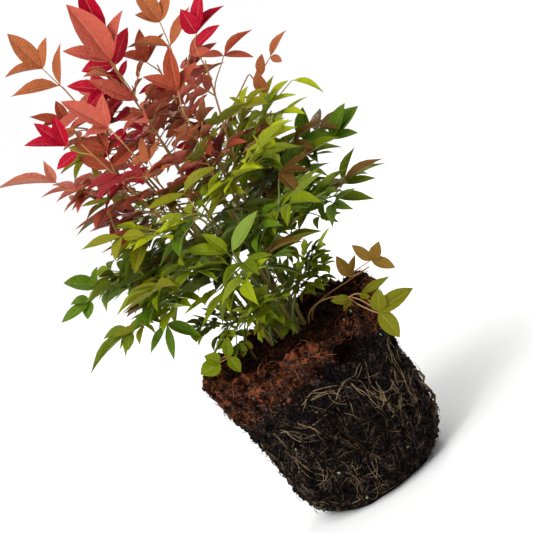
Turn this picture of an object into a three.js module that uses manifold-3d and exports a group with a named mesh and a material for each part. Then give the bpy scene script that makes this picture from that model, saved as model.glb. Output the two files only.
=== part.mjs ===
// Heavenly bamboo (Nandina domestica, a dwarf garden form) standing on its bare root ball, as it comes
// out of a small nursery pot. A clump of slender unbranched canes rises from the middle of the ball.
// What would be boughs on another shrub are leaf stalks here. Each mass of foliage ends a cane or a
// stalk: a stem with fronds on it, and three leaflets at the end of every frond. The top of the plant
// is red and orange, the middle yellow-green and bronze, and the spreading skirt below it deep green.
//
// Units are millimetres and +Z is up. The origin is the centre of the ball's flat underside. The front
// is -Y, and an azimuth runs from +X towards +Y, so that -90 is the front and 180 the left-hand side.

import * as THREE from "three";
import { mergeVertices } from "three/addons/utils/BufferGeometryUtils.js";
import Module from "manifold-3d";

const wasm = await Module();
wasm.setup();

// ---------------------------------------------------------------------------------------------------
// Driving dimensions
// ---------------------------------------------------------------------------------------------------

const GAP = 0.3; // clearance between neighbouring solids
const CLEAR = 1.2; // how far a leaf or twig keeps from a limb and from the ball
const SAME_POINT = 1e-4; // corners nearer to each other than this are one
const FIRST_SEED = 100; // the masses' seeds count up from here
const GOLDEN_ANGLE = 137.508; // from one frond to the next round a stem, in degrees

// The root ball: a slightly widening side over a crumbled lower corner, and a fibrous collar on top.
const BALL = {
  sides: 40,
  rimHeight: 146,
  footLine: 63.5, // radius that the straight side would have at ground level
  taper: 0.07, // widening of the side for each millimetre of height
  cornerHeight: 30, // up to here the lower corner is rounded off
  cornerCut: 0.28, // share of the radius that the corner has lost at ground level
  cornerPower: 2,
  collar: 5, // how far the fibrous top layer stands proud
  collarFrom: 96, // it begins between these heights
  collarTo: 116,
  collarWander: 9, // how far its lower edge wanders up and down round the ball
  edgeDrop: 4, // rounding of the rim's outer edge
  topLumps: 0.5, // size of the lumps on the top surface, against those on the side
  middleDrop: 1, // depth of the top surface's middle below the rim
  bumpsFrom: 0.55, // the rim's bumps rise between these shares of its radius
  bumpsTo: 0.9,
};
// Heights of the side rings, and the top surface as [share of the rim's radius, depth below the rim].
const SIDE_RINGS = [0, 5, 14, 28, 50, 72, 92, 106, 118, 132];
const TOP_RINGS = [
  [1, 4],
  [0.94, 0],
  [0.82, 6],
  [0.6, 8],
  [0.3, 3],
];
// Lumps on the ball: waves of a given size, so many round the ball and so many up its side, and where
// each begins, in radians round the ball and up it.
const LUMPS = [
  { size: 1.5, round: 2, up: 0.7, turn: 0.4, start: 0.7 },
  { size: 1.2, round: 5, up: 1.5, turn: 2.1, start: 3.6 },
  { size: 0.9, round: 9, up: 2.6, turn: 5, start: 2.2 },
  { size: 0.7, round: 14, up: 3.6, turn: 1.2, start: 2 },
];
// Places where the rim stands up in a crumb of fibre, or is broken away in a hollow.
const RIM_BUMPS = [
  { azimuth: 8, height: 5, width: 9 },
  { azimuth: 172, height: 3, width: 22 },
  { azimuth: 60, height: 3, width: 12 },
  { azimuth: -66, height: -15, width: 12 },
  { azimuth: -115, height: -3, width: 20 },
];

// Limbs. A cane or shoot stands in the ball, a stalk leaves a cane. foot and tip are radii, flare widens
// the foot, and sunk is how deep it stands in the ball.
const CANE = { foot: 3.1, tip: 1.6, flare: 1.35, sides: 6, rings: 7, sunk: 3.5 };
const SHOOT = { foot: 1.5, tip: 1.1, flare: 1.2, sides: 5, rings: 6, sunk: 3 };
const STALK = { foot: 1.5, tip: 1.1, flare: 1, sides: 4, rings: 5 };
const FLARE_ENDS = 0.125; // share of a limb's length
const PETIOLE_RINGS = [0, 0.25, 0.5, 0.75]; // on a stalk that is one with its mass's stem
const BEND = {
  handle: 0.4, // pull of a limb's two end slopes, as a share of the distance between its ends
  lean: 0.12, // how far a cane leans outwards as it leaves the ball, against how far it rises
  rise: 0.9, // how steeply a stalk leaves its cane, against how far it goes outwards
};

// Twigs have three sides. Radii of a twig at its root and its end, and of a mass's stem at its end.
const TWIG = { root: 1, end: 0.8, stemEnd: 1 };
// Corners of their section as [to the left, upwards]: upper left, upper right, bottom.
const CORNERS = [
  [Math.sqrt(0.75), 0.5],
  [-Math.sqrt(0.75), 0.5],
  [0, -1],
];
const FROND = {
  seat: 2.6, // length of a leaflet's seat on its twig
  bend: 0.55, // where the frond begins to sag, as a share of its length
  sag: 0.16, // droop of the frond's end, as a share of its length
  leafAngle: 56, // between a frond and the leaflets beside its end
  sideLeaf: 0.88, // length of a side leaflet beside the end one
  lowest: 1.25, // length of the lowest frond on a stem, and of the highest
  highest: 0.75,
  scatter: 0.14, // of its length, as a share
  openScatter: 8, // of its opening and its turn round the stem, in degrees
  turnScatter: 20,
  fewest: 2, // a frond with room for fewer leaflets isn't grown
  tries: 6,
};
const LEAF = {
  widestAt: 0.42,
  thickness: 0.027, // share of the leaflet's length
  fold: 0.16, // how far the edges stand above the midrib, as a share of the width
  droop: 0.1, // how far the tip hangs, as a share of the length
  roll: 28, // most that a leaflet is turned about its own midrib, in degrees
  pitch: 22, // most that a leaflet points above or below its frond, in degrees
  turn: 14, // most that its angle to the frond differs, in degrees
  scatter: 0.13, // of its length, as a share
  clear: 1.4, // distance between the leaflets of two masses, from midrib to midrib
  clearFrom: 0.11, // share of the length from which a leaflet is clear of its own twig
  tries: 8,
  shrink: 0.94, // length kept at each further try
};

// How each kind of mass grows. spiral: fronds follow each other round the stem, the lowest most open.
// pairs: one frond ends the stem and the others stand left and right of it, as in a divided leaf.
// stem and reach are the length of a mass's stem and how far its leaves may be from it, frond and leaf
// the lengths of those, open the fronds' opening, slim a leaflet's width for its length, nod its hang.
const HABITS = {
  crown: { layout: "spiral", fronds: 8, open: 72, stem: 100, reach: 72, frond: 26, leaf: 41, slim: 0.4, nod: 0 },
  spray: { layout: "pairs", fronds: 7, open: 52, stem: 56, reach: 70, frond: 24, leaf: 40, slim: 0.38, nod: 8 },
  skirt: { layout: "pairs", fronds: 7, open: 50, stem: 62, reach: 74, frond: 26, leaf: 43, slim: 0.34, nod: 11 },
  thicket: { layout: "spiral", fronds: 7, open: 80, stem: 34, reach: 40, frond: 14, leaf: 21, slim: 0.46, nod: 6 },
  sprig: { layout: "pairs", fronds: 3, open: 60, stem: 26, reach: 46, frond: 14, leaf: 28, slim: 0.5, nod: 0 },
};

// One row for each mass of foliage with the limb that carries it. foot is where a cane or shoot stands
// on the ball, from is [cane, height] where a stalk leaves another row's cane. at is the end of the
// mass's stem, which runs straight out from the plant's axis, and rise its slope above level. face is
// the azimuth that its upper leaf faces lean towards, where that isn't inwards.
const MASSES = [
  // red and orange crown
  { name: "crown_peak_left", habit: "crown", foot: [-8, 3], at: [-38, 14, 405], rise: 82, face: -90 },
  { name: "crown_peak", habit: "crown", foot: [0, -5], at: [4, -8, 412], rise: 88, face: -90 },
  { name: "crown_peak_right", habit: "crown", foot: [8, 2], at: [48, 12, 388], rise: 80, face: -90 },
  { name: "crown_left", habit: "crown", foot: [-14, -7], at: [-50, -26, 366], rise: 76 },
  { name: "crown_right", habit: "crown", foot: [15, -8], at: [66, -22, 366], rise: 72 },
  { name: "crown_back_left", habit: "crown", foot: [-9, 13], at: [-34, 54, 382], rise: 75 },
  { name: "crown_back_right", habit: "crown", foot: [9, 12], at: [34, 58, 376], rise: 75 },
  { name: "crown_front_left", habit: "crown", foot: [-5, -16], at: [-22, -58, 352], rise: 72 },
  { name: "crown_front_right", habit: "crown", foot: [7, -16], at: [30, -60, 348], rise: 72 },
  { name: "crown_far_left", habit: "spray", from: ["crown_left", 252], at: [-82, 14, 338], rise: 34 },
  { name: "crown_far_right", habit: "spray", from: ["crown_peak_right", 256], at: [88, 4, 334], rise: 30 },
  { name: "crown_far_back", habit: "spray", from: ["crown_back_left", 252], at: [2, 86, 332], rise: 34 },
  // yellow-green and bronze middle
  { name: "lime_right", habit: "spray", from: ["crown_right", 232], at: [88, -8, 302], rise: 26 },
  { name: "lime_front_right", habit: "spray", from: ["crown_front_right", 218], at: [50, -68, 288], rise: 20 },
  { name: "lime_front", habit: "spray", from: ["crown_front_left", 222], at: [-4, -84, 280], rise: 16 },
  { name: "lime_front_left", habit: "spray", from: ["crown_left", 222], at: [-56, -56, 286], rise: 18 },
  { name: "bronze_left", habit: "spray", from: ["crown_peak_left", 226], at: [-64, 16, 280], rise: 16 },
  { name: "bronze_back_left", habit: "spray", from: ["crown_back_left", 222], at: [-48, 70, 286], rise: 18 },
  { name: "bronze_back_right", habit: "spray", from: ["crown_back_right", 222], at: [52, 68, 290], rise: 20 },
  // green skirt
  { name: "skirt_right_high", habit: "skirt", from: ["crown_peak_right", 206], at: [90, 14, 260], rise: 10 },
  { name: "skirt_right_low", habit: "skirt", from: ["crown_right", 178], at: [86, -17, 226], rise: 4 },
  { name: "skirt_front_right", habit: "skirt", from: ["crown_front_right", 190], at: [46, -74, 246], rise: 6 },
  { name: "skirt_front", habit: "skirt", from: ["crown_front_left", 170], at: [0, -86, 220], rise: 2 },
  { name: "skirt_front_left", habit: "skirt", from: ["crown_front_left", 196], at: [-52, -68, 246], rise: 6 },
  { name: "skirt_left_high", habit: "skirt", from: ["crown_peak_left", 206], at: [-90, 6, 258], rise: 10 },
  { name: "skirt_left_low", habit: "skirt", from: ["crown_left", 176], at: [-86, -22, 227], rise: 3 },
  { name: "skirt_back_left", habit: "skirt", from: ["crown_back_left", 190], at: [-60, 62, 238], rise: 6 },
  { name: "skirt_back", habit: "skirt", from: ["crown_back_left", 172], at: [-2, 88, 226], rise: 4 },
  { name: "skirt_back_right", habit: "skirt", from: ["crown_back_right", 188], at: [58, 64, 236], rise: 6 },
  // small-leaved thicket round the foot of the canes
  { name: "thicket_left", habit: "thicket", from: ["crown_left", 158], at: [-46, -8, 186], rise: 30 },
  { name: "thicket_front", habit: "thicket", from: ["crown_front_left", 156], at: [-6, -46, 184], rise: 30 },
  { name: "thicket_right", habit: "thicket", from: ["crown_right", 158], at: [46, -20, 186], rise: 30 },
  { name: "thicket_back", habit: "thicket", from: ["crown_back_right", 158], at: [8, 48, 186], rise: 30 },
  // sprigs that hang over the rim
  { name: "sprig_right_low", habit: "sprig", foot: [18, -14], at: [75, -62, 118], rise: -60 },
  { name: "sprig_right_high", habit: "sprig", foot: [22, -4], at: [84, -14, 155], rise: 2 },
  { name: "sprig_left", habit: "sprig", foot: [-32, -4], at: [-62, -26, 162], rise: 0 },
];

const SPIRAL = {
  first: 0.12, // where the lowest frond leaves the stem, as a share of its length
  lastOpen: 8, // opening of the top frond, in degrees
  closing: 1.5, // how late the fronds close up towards the top
};
const PAIR_OPENS = 6; // each pair stands more open than the one above it, in degrees
const SEAT_SHARE = 0.02; // a frond's seat begins at most this share of the stem before it
const SKY_LEAN = 0.35; // how far upper leaf faces lean to one side, against upwards

const COLOURS = {
  crown: 0xb1452f,
  bronze: 0x8a5a34,
  lime: 0x7f942c,
  skirt: 0x3f6626,
  thicket: 0x4c7d2c,
  sprig: 0x7c8434,
  cane: 0xa88a4a,
  stalk: 0x8c8a3c,
  ball: 0x2e211b,
};
const ROUGHNESS = { ball: 0.95, limb: 0.7, leaf: 0.55 };

// ---------------------------------------------------------------------------------------------------
// Small helpers
// ---------------------------------------------------------------------------------------------------

const UP = new THREE.Vector3(0, 0, 1);
const radians = THREE.MathUtils.degToRad;
const lerp = THREE.MathUtils.lerp;

// Even chances between 0 and 1 that are the same at every build.
function dice(seed) {
  let state = seed >>> 0;
  return () => {
    state = (state + 0x6d2b79f5) >>> 0;
    let mixed = Math.imul(state ^ (state >>> 15), state | 1);
    mixed = (mixed + Math.imul(mixed ^ (mixed >>> 7), mixed | 61)) ^ mixed;
    return ((mixed ^ (mixed >>> 14)) >>> 0) / 4294967296;
  };
}

// Evenly between -1 and 1.
function evenly(roll) {
  return 2 * roll() - 1;
}

// The point at an azimuth in degrees, a distance from the plant's axis, and a height.
function polar(azimuth, radius, height) {
  const angle = radians(azimuth);
  return new THREE.Vector3(radius * Math.cos(angle), radius * Math.sin(angle), height);
}

// The direction that points away from the axis at an azimuth, raised so many degrees above level.
function outward(azimuth, rise) {
  return polar(azimuth, Math.cos(radians(rise)), Math.sin(radians(rise)));
}

// vector without the part of it that lies along axis, at unit length.
function squareTo(vector, axis) {
  return vector.clone().addScaledVector(axis, -vector.dot(axis)).normalize();
}

function distanceToSegment(point, start, end) {
  const closest = new THREE.Vector3();
  new THREE.Line3(start, end).closestPointToPoint(point, true, closest);
  return closest.distanceTo(point);
}

// ---------------------------------------------------------------------------------------------------
// Solids
// ---------------------------------------------------------------------------------------------------

function solidOf(geometry) {
  const bare = geometry.clone();
  for (const name of ["normal", "uv"]) bare.deleteAttribute(name);
  const merged = mergeVertices(bare, SAME_POINT);
  return new wasm.Manifold(
    new wasm.Mesh({
      numProp: 3,
      vertProperties: new Float32Array(merged.getAttribute("position").array),
      triVerts: new Uint32Array(merged.index.array),
    }),
  );
}

function geometryOf(solid) {
  const mesh = solid.getMesh();
  const geometry = new THREE.BufferGeometry();
  geometry.setAttribute("position", new THREE.BufferAttribute(mesh.vertProperties, 3));
  geometry.setIndex(new THREE.BufferAttribute(mesh.triVerts, 1));
  geometry.computeVertexNormals();
  return geometry;
}

// The largest of a solid's separate bodies, so that a loose scrap is dropped.
function largestBody(solid) {
  return solid.decompose().reduce((best, body) => (body.volume() > best.volume() ? body : best));
}

// A closed round limb along a curve. radiusAt gives its radius at each share of the curve's length.
function limbGeometry(curve, sides, rings, radiusAt) {
  const tube = new THREE.CylinderGeometry(1, 1, 1, sides, rings);
  const frames = curve.computeFrenetFrames(rings, false);
  const position = tube.getAttribute("position");
  for (let i = 0; i < position.count; i++) {
    const ring = Math.round((position.getY(i) + 0.5) * rings);
    const share = ring / rings;
    const point = curve
      .getPointAt(share)
      .addScaledVector(frames.normals[ring], position.getX(i) * radiusAt(share))
      .addScaledVector(frames.binormals[ring], -position.getZ(i) * radiusAt(share));
    position.setXYZ(i, point.x, point.y, point.z);
  }
  return tube;
}

function leafPoint(leaf, along, across, lift) {
  return leaf.root
    .clone()
    .addScaledVector(leaf.heading, along * leaf.length)
    .addScaledVector(leaf.side, across)
    .addScaledVector(leaf.over, lift);
}

// ---------------------------------------------------------------------------------------------------
// Root ball
// ---------------------------------------------------------------------------------------------------

function lumpAt(azimuth, height) {
  const climb = (2 * Math.PI * height) / BALL.rimHeight;
  return LUMPS.reduce(
    (sum, { size, round, up, turn, start }) =>
      sum + size * Math.sin(round * azimuth + turn) * Math.cos(up * climb + start),
    0,
  );
}

function ballRadius(azimuth, height) {
  const corner = Math.max(0, 1 - height / BALL.cornerHeight);
  const side = (BALL.footLine + BALL.taper * height) * (1 - BALL.cornerCut * corner ** BALL.cornerPower);
  const wander = BALL.collarWander * Math.sin(3 * azimuth + 2 * Math.sin(2 * azimuth));
  const proud = THREE.MathUtils.smoothstep(height + wander, BALL.collarFrom, BALL.collarTo);
  return side + BALL.collar * proud + lumpAt(azimuth, height);
}

// Height of the top surface at an azimuth in radians and a share of the rim's radius.
function topHeight(azimuth, share) {
  const turn = THREE.MathUtils.radToDeg(azimuth);
  const wayUp = BALL.rimHeight + BALL.footLine * (1 - share);
  let height = BALL.rimHeight + BALL.topLumps * lumpAt(azimuth, wayUp);
  for (const bump of RIM_BUMPS) {
    const away = ((turn - bump.azimuth + 540) % 360) - 180;
    const fade = Math.exp(-((away / bump.width) ** 2));
    height += bump.height * fade * THREE.MathUtils.smoothstep(share, BALL.bumpsFrom, BALL.bumpsTo);
  }
  return height;
}

// The ball is turned from its profile, and every point is then moved in or out by the lumps.
function ballGeometry() {
  const profile = [new THREE.Vector2(0, 0)];
  for (const height of SIDE_RINGS) profile.push(new THREE.Vector2(1, height));
  for (const [share, depth] of TOP_RINGS) profile.push(new THREE.Vector2(1 + share, depth));
  profile.push(new THREE.Vector2(0, 2));
  const lathe = new THREE.LatheGeometry(profile, BALL.sides);
  lathe.rotateX(Math.PI / 2);
  const rows = profile.length;
  const position = lathe.getAttribute("position");
  for (let i = 0; i < position.count; i++) {
    const row = i % rows;
    const step = Math.floor(i / rows) % BALL.sides;
    const azimuth = (step / BALL.sides) * 2 * Math.PI;
    const { radius, height } = ballPoint(row, azimuth);
    position.setXYZ(i, radius * Math.cos(azimuth), radius * Math.sin(azimuth), height);
  }
  return lathe;
}

// Where the profile's point of that row goes at an azimuth: underside, side, top surface, middle.
function ballPoint(row, azimuth) {
  if (row === 0) return { radius: 0, height: 0 };
  if (row <= SIDE_RINGS.length) {
    const height = SIDE_RINGS[row - 1];
    return { radius: ballRadius(azimuth, height), height };
  }
  const top = TOP_RINGS[row - 1 - SIDE_RINGS.length];
  if (!top) return { radius: 0, height: BALL.rimHeight - BALL.middleDrop };
  const [share, depth] = top;
  return {
    radius: share * ballRadius(azimuth, BALL.rimHeight - BALL.edgeDrop),
    height: topHeight(azimuth, share) - depth,
  };
}

// Height of the ball's top surface under a point, or -Infinity beside the ball.
function groundUnder(point) {
  const azimuth = Math.atan2(point.y, point.x);
  const share = Math.hypot(point.x, point.y) / ballRadius(azimuth, BALL.rimHeight - BALL.edgeDrop);
  if (share > 1) return -Infinity;
  const inner = TOP_RINGS.findIndex(([ring]) => ring <= share);
  const [lastShare, lastDepth] = TOP_RINGS.at(-1);
  if (inner < 0) return BALL.rimHeight - lerp(BALL.middleDrop, lastDepth, share / lastShare);
  if (inner === 0) return topHeight(azimuth, share) - TOP_RINGS[0][1];
  const [outerShare, outerDepth] = TOP_RINGS[inner - 1];
  const [innerShare, innerDepth] = TOP_RINGS[inner];
  const between = (share - innerShare) / (outerShare - innerShare);
  return topHeight(azimuth, share) - lerp(innerDepth, outerDepth, between);
}

function insideBall(point, clearance) {
  const azimuth = Math.atan2(point.y, point.x);
  const radius = Math.hypot(point.x, point.y);
  if (point.z > BALL.rimHeight - BALL.edgeDrop) {
    return point.z < groundUnder(point) + clearance;
  }
  return radius < ballRadius(azimuth, point.z) + clearance;
}

// ---------------------------------------------------------------------------------------------------
// Limbs: each runs from its root to where its mass of foliage begins
// ---------------------------------------------------------------------------------------------------

function limbShape(mass) {
  if (mass.from) return STALK;
  return mass.habit === "crown" ? CANE : SHOOT;
}

// The straight stem at the heart of a mass, from where its limb ends.
function stemOf(mass) {
  const end = new THREE.Vector3(...mass.at);
  const heading = outward(THREE.MathUtils.radToDeg(Math.atan2(end.y, end.x)), mass.rise);
  const start = end.clone().addScaledVector(heading, -HABITS[mass.habit].stem);
  return { start, end, heading };
}

function limbOf(mass, grown) {
  const shape = limbShape(mass);
  const { heading, start: tip } = stemOf(mass);
  let root;
  let leave;
  if (mass.foot) {
    root = new THREE.Vector3(...mass.foot, 0);
    root.z = groundUnder(root) - shape.sunk;
    leave = UP.clone().addScaledVector(root.clone().setZ(0).normalize(), BEND.lean).normalize();
  } else {
    root = pointAtHeight(grown.get(mass.from[0]).curve, mass.from[1]);
    leave = tip.clone().sub(root).setZ(0).normalize().addScaledVector(UP, BEND.rise).normalize();
  }
  const handle = BEND.handle * root.distanceTo(tip);
  const curve = new THREE.CubicBezierCurve3(
    root,
    root.clone().addScaledVector(leave, handle),
    tip.clone().addScaledVector(heading, -handle),
    tip,
  );
  const radiusAt = (share) =>
    lerp(shape.foot, shape.tip, share) * lerp(shape.flare, 1, Math.min(1, share / FLARE_ENDS));
  return { curve, shape, radiusAt, parent: mass.from?.[0] };
}

// The point where a rising curve reaches a height.
function pointAtHeight(curve, height) {
  let low = 0;
  let high = 1;
  for (let step = 0; step < 30; step++) {
    const middle = (low + high) / 2;
    if (curve.getPointAt(middle).z < height) low = middle;
    else high = middle;
  }
  return curve.getPointAt(low);
}

// What stands in the ball has a bare limb of its own, and so have the long stalks of the skirt.
function hasOwnLimb(mass) {
  return Boolean(mass.foot) || mass.habit === "skirt";
}

// The limb's solid, or room for it with a clearance that is measured at the middle of its flats.
function limbSolid({ curve, shape, radiusAt }, clearance = 0) {
  const more = clearance / Math.cos(Math.PI / shape.sides);
  return solidOf(limbGeometry(curve, shape.sides, shape.rings, (share) => radiusAt(share) + more));
}

const limbs = new Map();
for (const mass of MASSES) limbs.set(mass.name, limbOf(mass, limbs));

// What grows from a cane starts clear of it.
function cutFromParent(solid, limb) {
  return largestBody(solid.subtract(limbSolid(limbs.get(limb.parent), GAP)));
}

// ---------------------------------------------------------------------------------------------------
// Room: what is there already, as straight rods and as leaf outlines
// ---------------------------------------------------------------------------------------------------

// Shortest distance between two straight rods' axes, from their ends.
function rodDistance(rod, other) {
  const along = rod.end.clone().sub(rod.start);
  const across = other.end.clone().sub(other.start);
  const between = rod.start.clone().sub(other.start);
  const [a, b, c] = [along.lengthSq(), along.dot(across), across.lengthSq()];
  const [d, e] = [along.dot(between), across.dot(between)];
  const spread = a * c - b * b;
  const clamp = THREE.MathUtils.clamp;
  let s = spread > 1e-9 ? clamp((b * e - c * d) / spread, 0, 1) : 0;
  const t = clamp((b * s + e) / c, 0, 1);
  s = clamp((b * t - d) / a, 0, 1);
  return between.addScaledVector(along, s).addScaledVector(across, -t).length();
}

function curveRods(curve, pieces, radiusAt) {
  const points = curve.getSpacedPoints(pieces);
  return points.slice(1).map((end, i) => ({ start: points[i], end, radius: radiusAt(i / pieces) }));
}

// The outline and midrib of a leaflet as thin rods, from a little way out, where it is clear of its twig.
function leafRods(leaf) {
  const [root, left, tip, right] = leafCorners(leaf);
  const ends = [
    [root.clone().lerp(left, LEAF.clearFrom / LEAF.widestAt), left],
    [root.clone().lerp(right, LEAF.clearFrom / LEAF.widestAt), right],
    [root.clone().lerp(tip, LEAF.clearFrom), tip],
    [left, tip],
    [right, tip],
  ];
  return ends.map(([start, end]) => ({ start, end, radius: 0 }));
}

// Whether a rod goes through a leaflet's blade, or comes nearer to its face than the clearance.
function pierces({ start, end }, leaf, clearance) {
  const [root, left, tip, right] = leafCorners(leaf);
  const reach = start.distanceTo(end);
  const way = end.clone().sub(start).divideScalar(reach);
  const hit = new THREE.Vector3();
  return [0, clearance, -clearance].some((offset) => {
    const ray = new THREE.Ray(start.clone().addScaledVector(leaf.over, offset), way);
    return [[root, left, tip], [root, tip, right]].some(
      ([a, b, c]) => ray.intersectTriangle(a, b, c, false, hit) && hit.distanceTo(ray.origin) < reach,
    );
  });
}

function rodMeetsLeaf(rod, leaf, clearance) {
  const limit = rod.radius + clearance;
  return leaf.rods.some((edge) => rodDistance(rod, edge) < limit) || pierces(rod, leaf, limit);
}

function leavesMeet(leaf, other, clearance) {
  if (leaf.root.distanceTo(other.root) > leaf.length + other.length + clearance) return false;
  const beside = (rod) => other.rods.some((edge) => rodDistance(rod, edge) < clearance);
  return (
    leaf.rods.some((rod) => pierces(rod, other, clearance) || beside(rod)) ||
    other.rods.some((rod) => pierces(rod, leaf, clearance))
  );
}

// Every limb and every mass's stem is there before the first frond grows.
const rods = MASSES.flatMap((mass) => {
  const { curve, shape, radiusAt } = limbs.get(mass.name);
  const { start, end } = stemOf(mass);
  const stem = { start, end, radius: shape.tip, owner: mass.name };
  return [...curveRods(curve, shape.rings, radiusAt), stem];
});
const grownLeaves = [];

// A twig has room within its mass's reach, above the ball and clear of all that other masses have grown.
function twigHasRoom(mass, curve) {
  const twig = curveRods(curve, 2, () => TWIG.root);
  return (
    withinReach(mass, [curve.getPoint(1)]) &&
    rods.every((rod) => rod.owner === mass.name || twig.every((piece) => clearOfRod(piece, rod))) &&
    grownLeaves.every((leaf) => twig.every((piece) => !rodMeetsLeaf(piece, leaf, LEAF.clear)))
  );
}

function clearOfRod(piece, rod) {
  return rodDistance(piece, rod) > piece.radius + rod.radius + CLEAR;
}

function leafHasRoom(mass, leaf, sisters) {
  const [, left, tip, right] = leafCorners(leaf);
  return (
    withinReach(mass, [left, tip, right]) &&
    rods.every((rod) => !rodMeetsLeaf(rod, leaf, CLEAR)) &&
    grownLeaves.every((other) => !leavesMeet(leaf, other, other.owner === mass.name ? 0 : LEAF.clear)) &&
    sisters.every((other) => !leavesMeet(leaf, other, 0))
  );
}

function withinReach(mass, points) {
  const { start, end } = stemOf(mass);
  const { reach } = HABITS[mass.habit];
  return points.every(
    (point) => distanceToSegment(point, start, end) < reach && !insideBall(point, CLEAR),
  );
}

// ---------------------------------------------------------------------------------------------------
// Foliage: each mass keeps to the space within reach of its own stem that no other mass has filled
// ---------------------------------------------------------------------------------------------------

// Where each frond leaves the stem: how far along it, its turn round it and its opening, in degrees.
function frondPlaces({ layout, fronds, open }, firstTurn) {
  return Array.from({ length: fronds }, (_, i) => {
    if (layout === "spiral") {
      const share = i / (fronds - 1);
      const opening = lerp(open, SPIRAL.lastOpen, share ** SPIRAL.closing);
      return { along: lerp(SPIRAL.first, 1, share), turn: firstTurn + GOLDEN_ANGLE * i, open: opening };
    }
    const pair = Math.ceil(i / 2);
    const along = 1 - pair / (0.5 * fronds);
    return { along, turn: i % 2 ? 0 : 180, open: i ? open + PAIR_OPENS * pair : 0 };
  });
}

// A leaflet from a point along a heading, with its upper face towards over.
function leafFrom(point, heading, over, length, slim, rolled) {
  const upper = squareTo(over, heading).applyAxisAngle(heading, radians(rolled));
  const leaf = {
    root: point,
    heading,
    over: upper,
    side: new THREE.Vector3().crossVectors(upper, heading),
    length,
    width: slim * length,
  };
  return { ...leaf, rods: leafRods(leaf) };
}

// The four corners of a leaflet's outline, round from its root.
function leafCorners(leaf) {
  const lift = LEAF.fold * leaf.width;
  return [
    leafPoint(leaf, 0, 0, 0),
    leafPoint(leaf, LEAF.widestAt, 0.5 * leaf.width, lift),
    leafPoint(leaf, 1, 0, -LEAF.droop * leaf.length),
    leafPoint(leaf, LEAF.widestAt, -0.5 * leaf.width, lift),
  ];
}

// One frond: a sagging twig that ends in three leaflets. A twig or leaflet that finds no free place
// after a few tries is left out.
function growFrond(mass, root, place, frame, roll) {
  const habit = HABITS[mass.habit];
  const full = habit.frond * lerp(FROND.lowest, FROND.highest, place.along);
  for (let attempt = 0; attempt < FROND.tries; attempt++) {
    const length = full * (1 + FROND.scatter * evenly(roll)) * LEAF.shrink ** attempt;
    const open = radians(place.open + FROND.openScatter * evenly(roll));
    const turn = radians(place.turn + FROND.turnScatter * evenly(roll));
    const heading = frame.side
      .clone()
      .applyAxisAngle(frame.heading, turn)
      .multiplyScalar(Math.sin(open))
      .addScaledVector(frame.heading, Math.cos(open));
    const end = root.clone().addScaledVector(heading, length).addScaledVector(UP, -FROND.sag * length);
    const bend = root.clone().addScaledVector(heading, FROND.bend * length);
    const curve = new THREE.QuadraticBezierCurve3(root, bend, end);
    if (!twigHasRoom(mass, curve)) continue;
    const frond = { curve, place, sky: frame.sky, leaves: new Map() };
    for (const where of [0, 1, -1]) {
      const leaf = growLeaf(mass, frond, where, roll);
      if (leaf) frond.leaves.set(where, leaf);
    }
    if (frond.leaves.size >= FROND.fewest) return frond;
  }
  return null;
}

// The leaflet at a frond's end (where is 0), or to the left (1) or right (-1) of it.
function growLeaf(mass, { curve, sky, leaves }, where, roll) {
  const habit = HABITS[mass.habit];
  const point = curve.getPointAt(where ? 1 - 0.5 * FROND.seat / curve.getLength() : 1);
  const along = curve.getTangentAt(1);
  const over = squareTo(sky, along);
  const across = new THREE.Vector3().crossVectors(over, along);
  const full = habit.leaf * (where ? FROND.sideLeaf : 1);
  for (let attempt = 0; attempt < LEAF.tries; attempt++) {
    const size = full * (1 + LEAF.scatter * evenly(roll)) * LEAF.shrink ** attempt;
    const angle = where * radians(FROND.leafAngle + LEAF.turn * evenly(roll));
    const pitch = radians(LEAF.pitch * evenly(roll) - habit.nod);
    const rolled = LEAF.roll * evenly(roll);
    const heading = along
      .clone()
      .multiplyScalar(Math.cos(angle))
      .addScaledVector(across, Math.sin(angle))
      .multiplyScalar(Math.cos(pitch))
      .addScaledVector(over, Math.sin(pitch));
    const leaf = leafFrom(point, heading, over, size, habit.slim, rolled);
    if (leafHasRoom(mass, leaf, [...leaves.values()])) return leaf;
  }
  return null;
}

// What a mass needs to know before it grows: its stem, where its fronds go, and which way is up to it.
function seedMass(mass, index) {
  const habit = HABITS[mass.habit];
  const roll = dice(FIRST_SEED + index);
  const { start, end, heading } = stemOf(mass);
  const inward = THREE.MathUtils.radToDeg(Math.atan2(-end.y, -end.x));
  const sky = UP.clone().addScaledVector(outward(mass.face ?? inward, 0), SKY_LEAN).normalize();
  const level = squareTo(sky, heading);
  const firstTurn = 360 * roll();
  const side = new THREE.Vector3().crossVectors(heading, level);
  const places = frondPlaces(habit, firstTurn);
  // On a spiral stem each frond has one of the three sides facing it, so the section turns with them.
  const overAt = (share) => {
    if (habit.layout === "pairs") return level;
    const passed = places.findLastIndex(({ along }) => along <= share + SEAT_SHARE);
    return level.clone().applyAxisAngle(heading, radians(90 + firstTurn + (GOLDEN_ANGLE - 120) * passed));
  };
  const frame = { heading, sky, side, overAt };
  return { mass, roll, frame, places, stem: new THREE.LineCurve3(start, end), fronds: [] };
}

// The masses take turns, a frond at a time, so that none of them fills its neighbours' room.
const foliage = MASSES.map(seedMass);
for (let turn = 0; turn < Math.max(...foliage.map(({ places }) => places.length)); turn++) {
  for (const { mass, roll, frame, places, stem, fronds } of foliage) {
    if (turn >= places.length) continue;
    const frond = growFrond(mass, stem.getPointAt(places[turn].along), places[turn], frame, roll);
    if (!frond) continue;
    fronds.push(frond);
    rods.push(...curveRods(frond.curve, 2, () => TWIG.root).map((rod) => ({ ...rod, owner: mass.name })));
    grownLeaves.push(...[...frond.leaves.values()].map((leaf) => ({ ...leaf, owner: mass.name })));
  }
}

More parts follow.
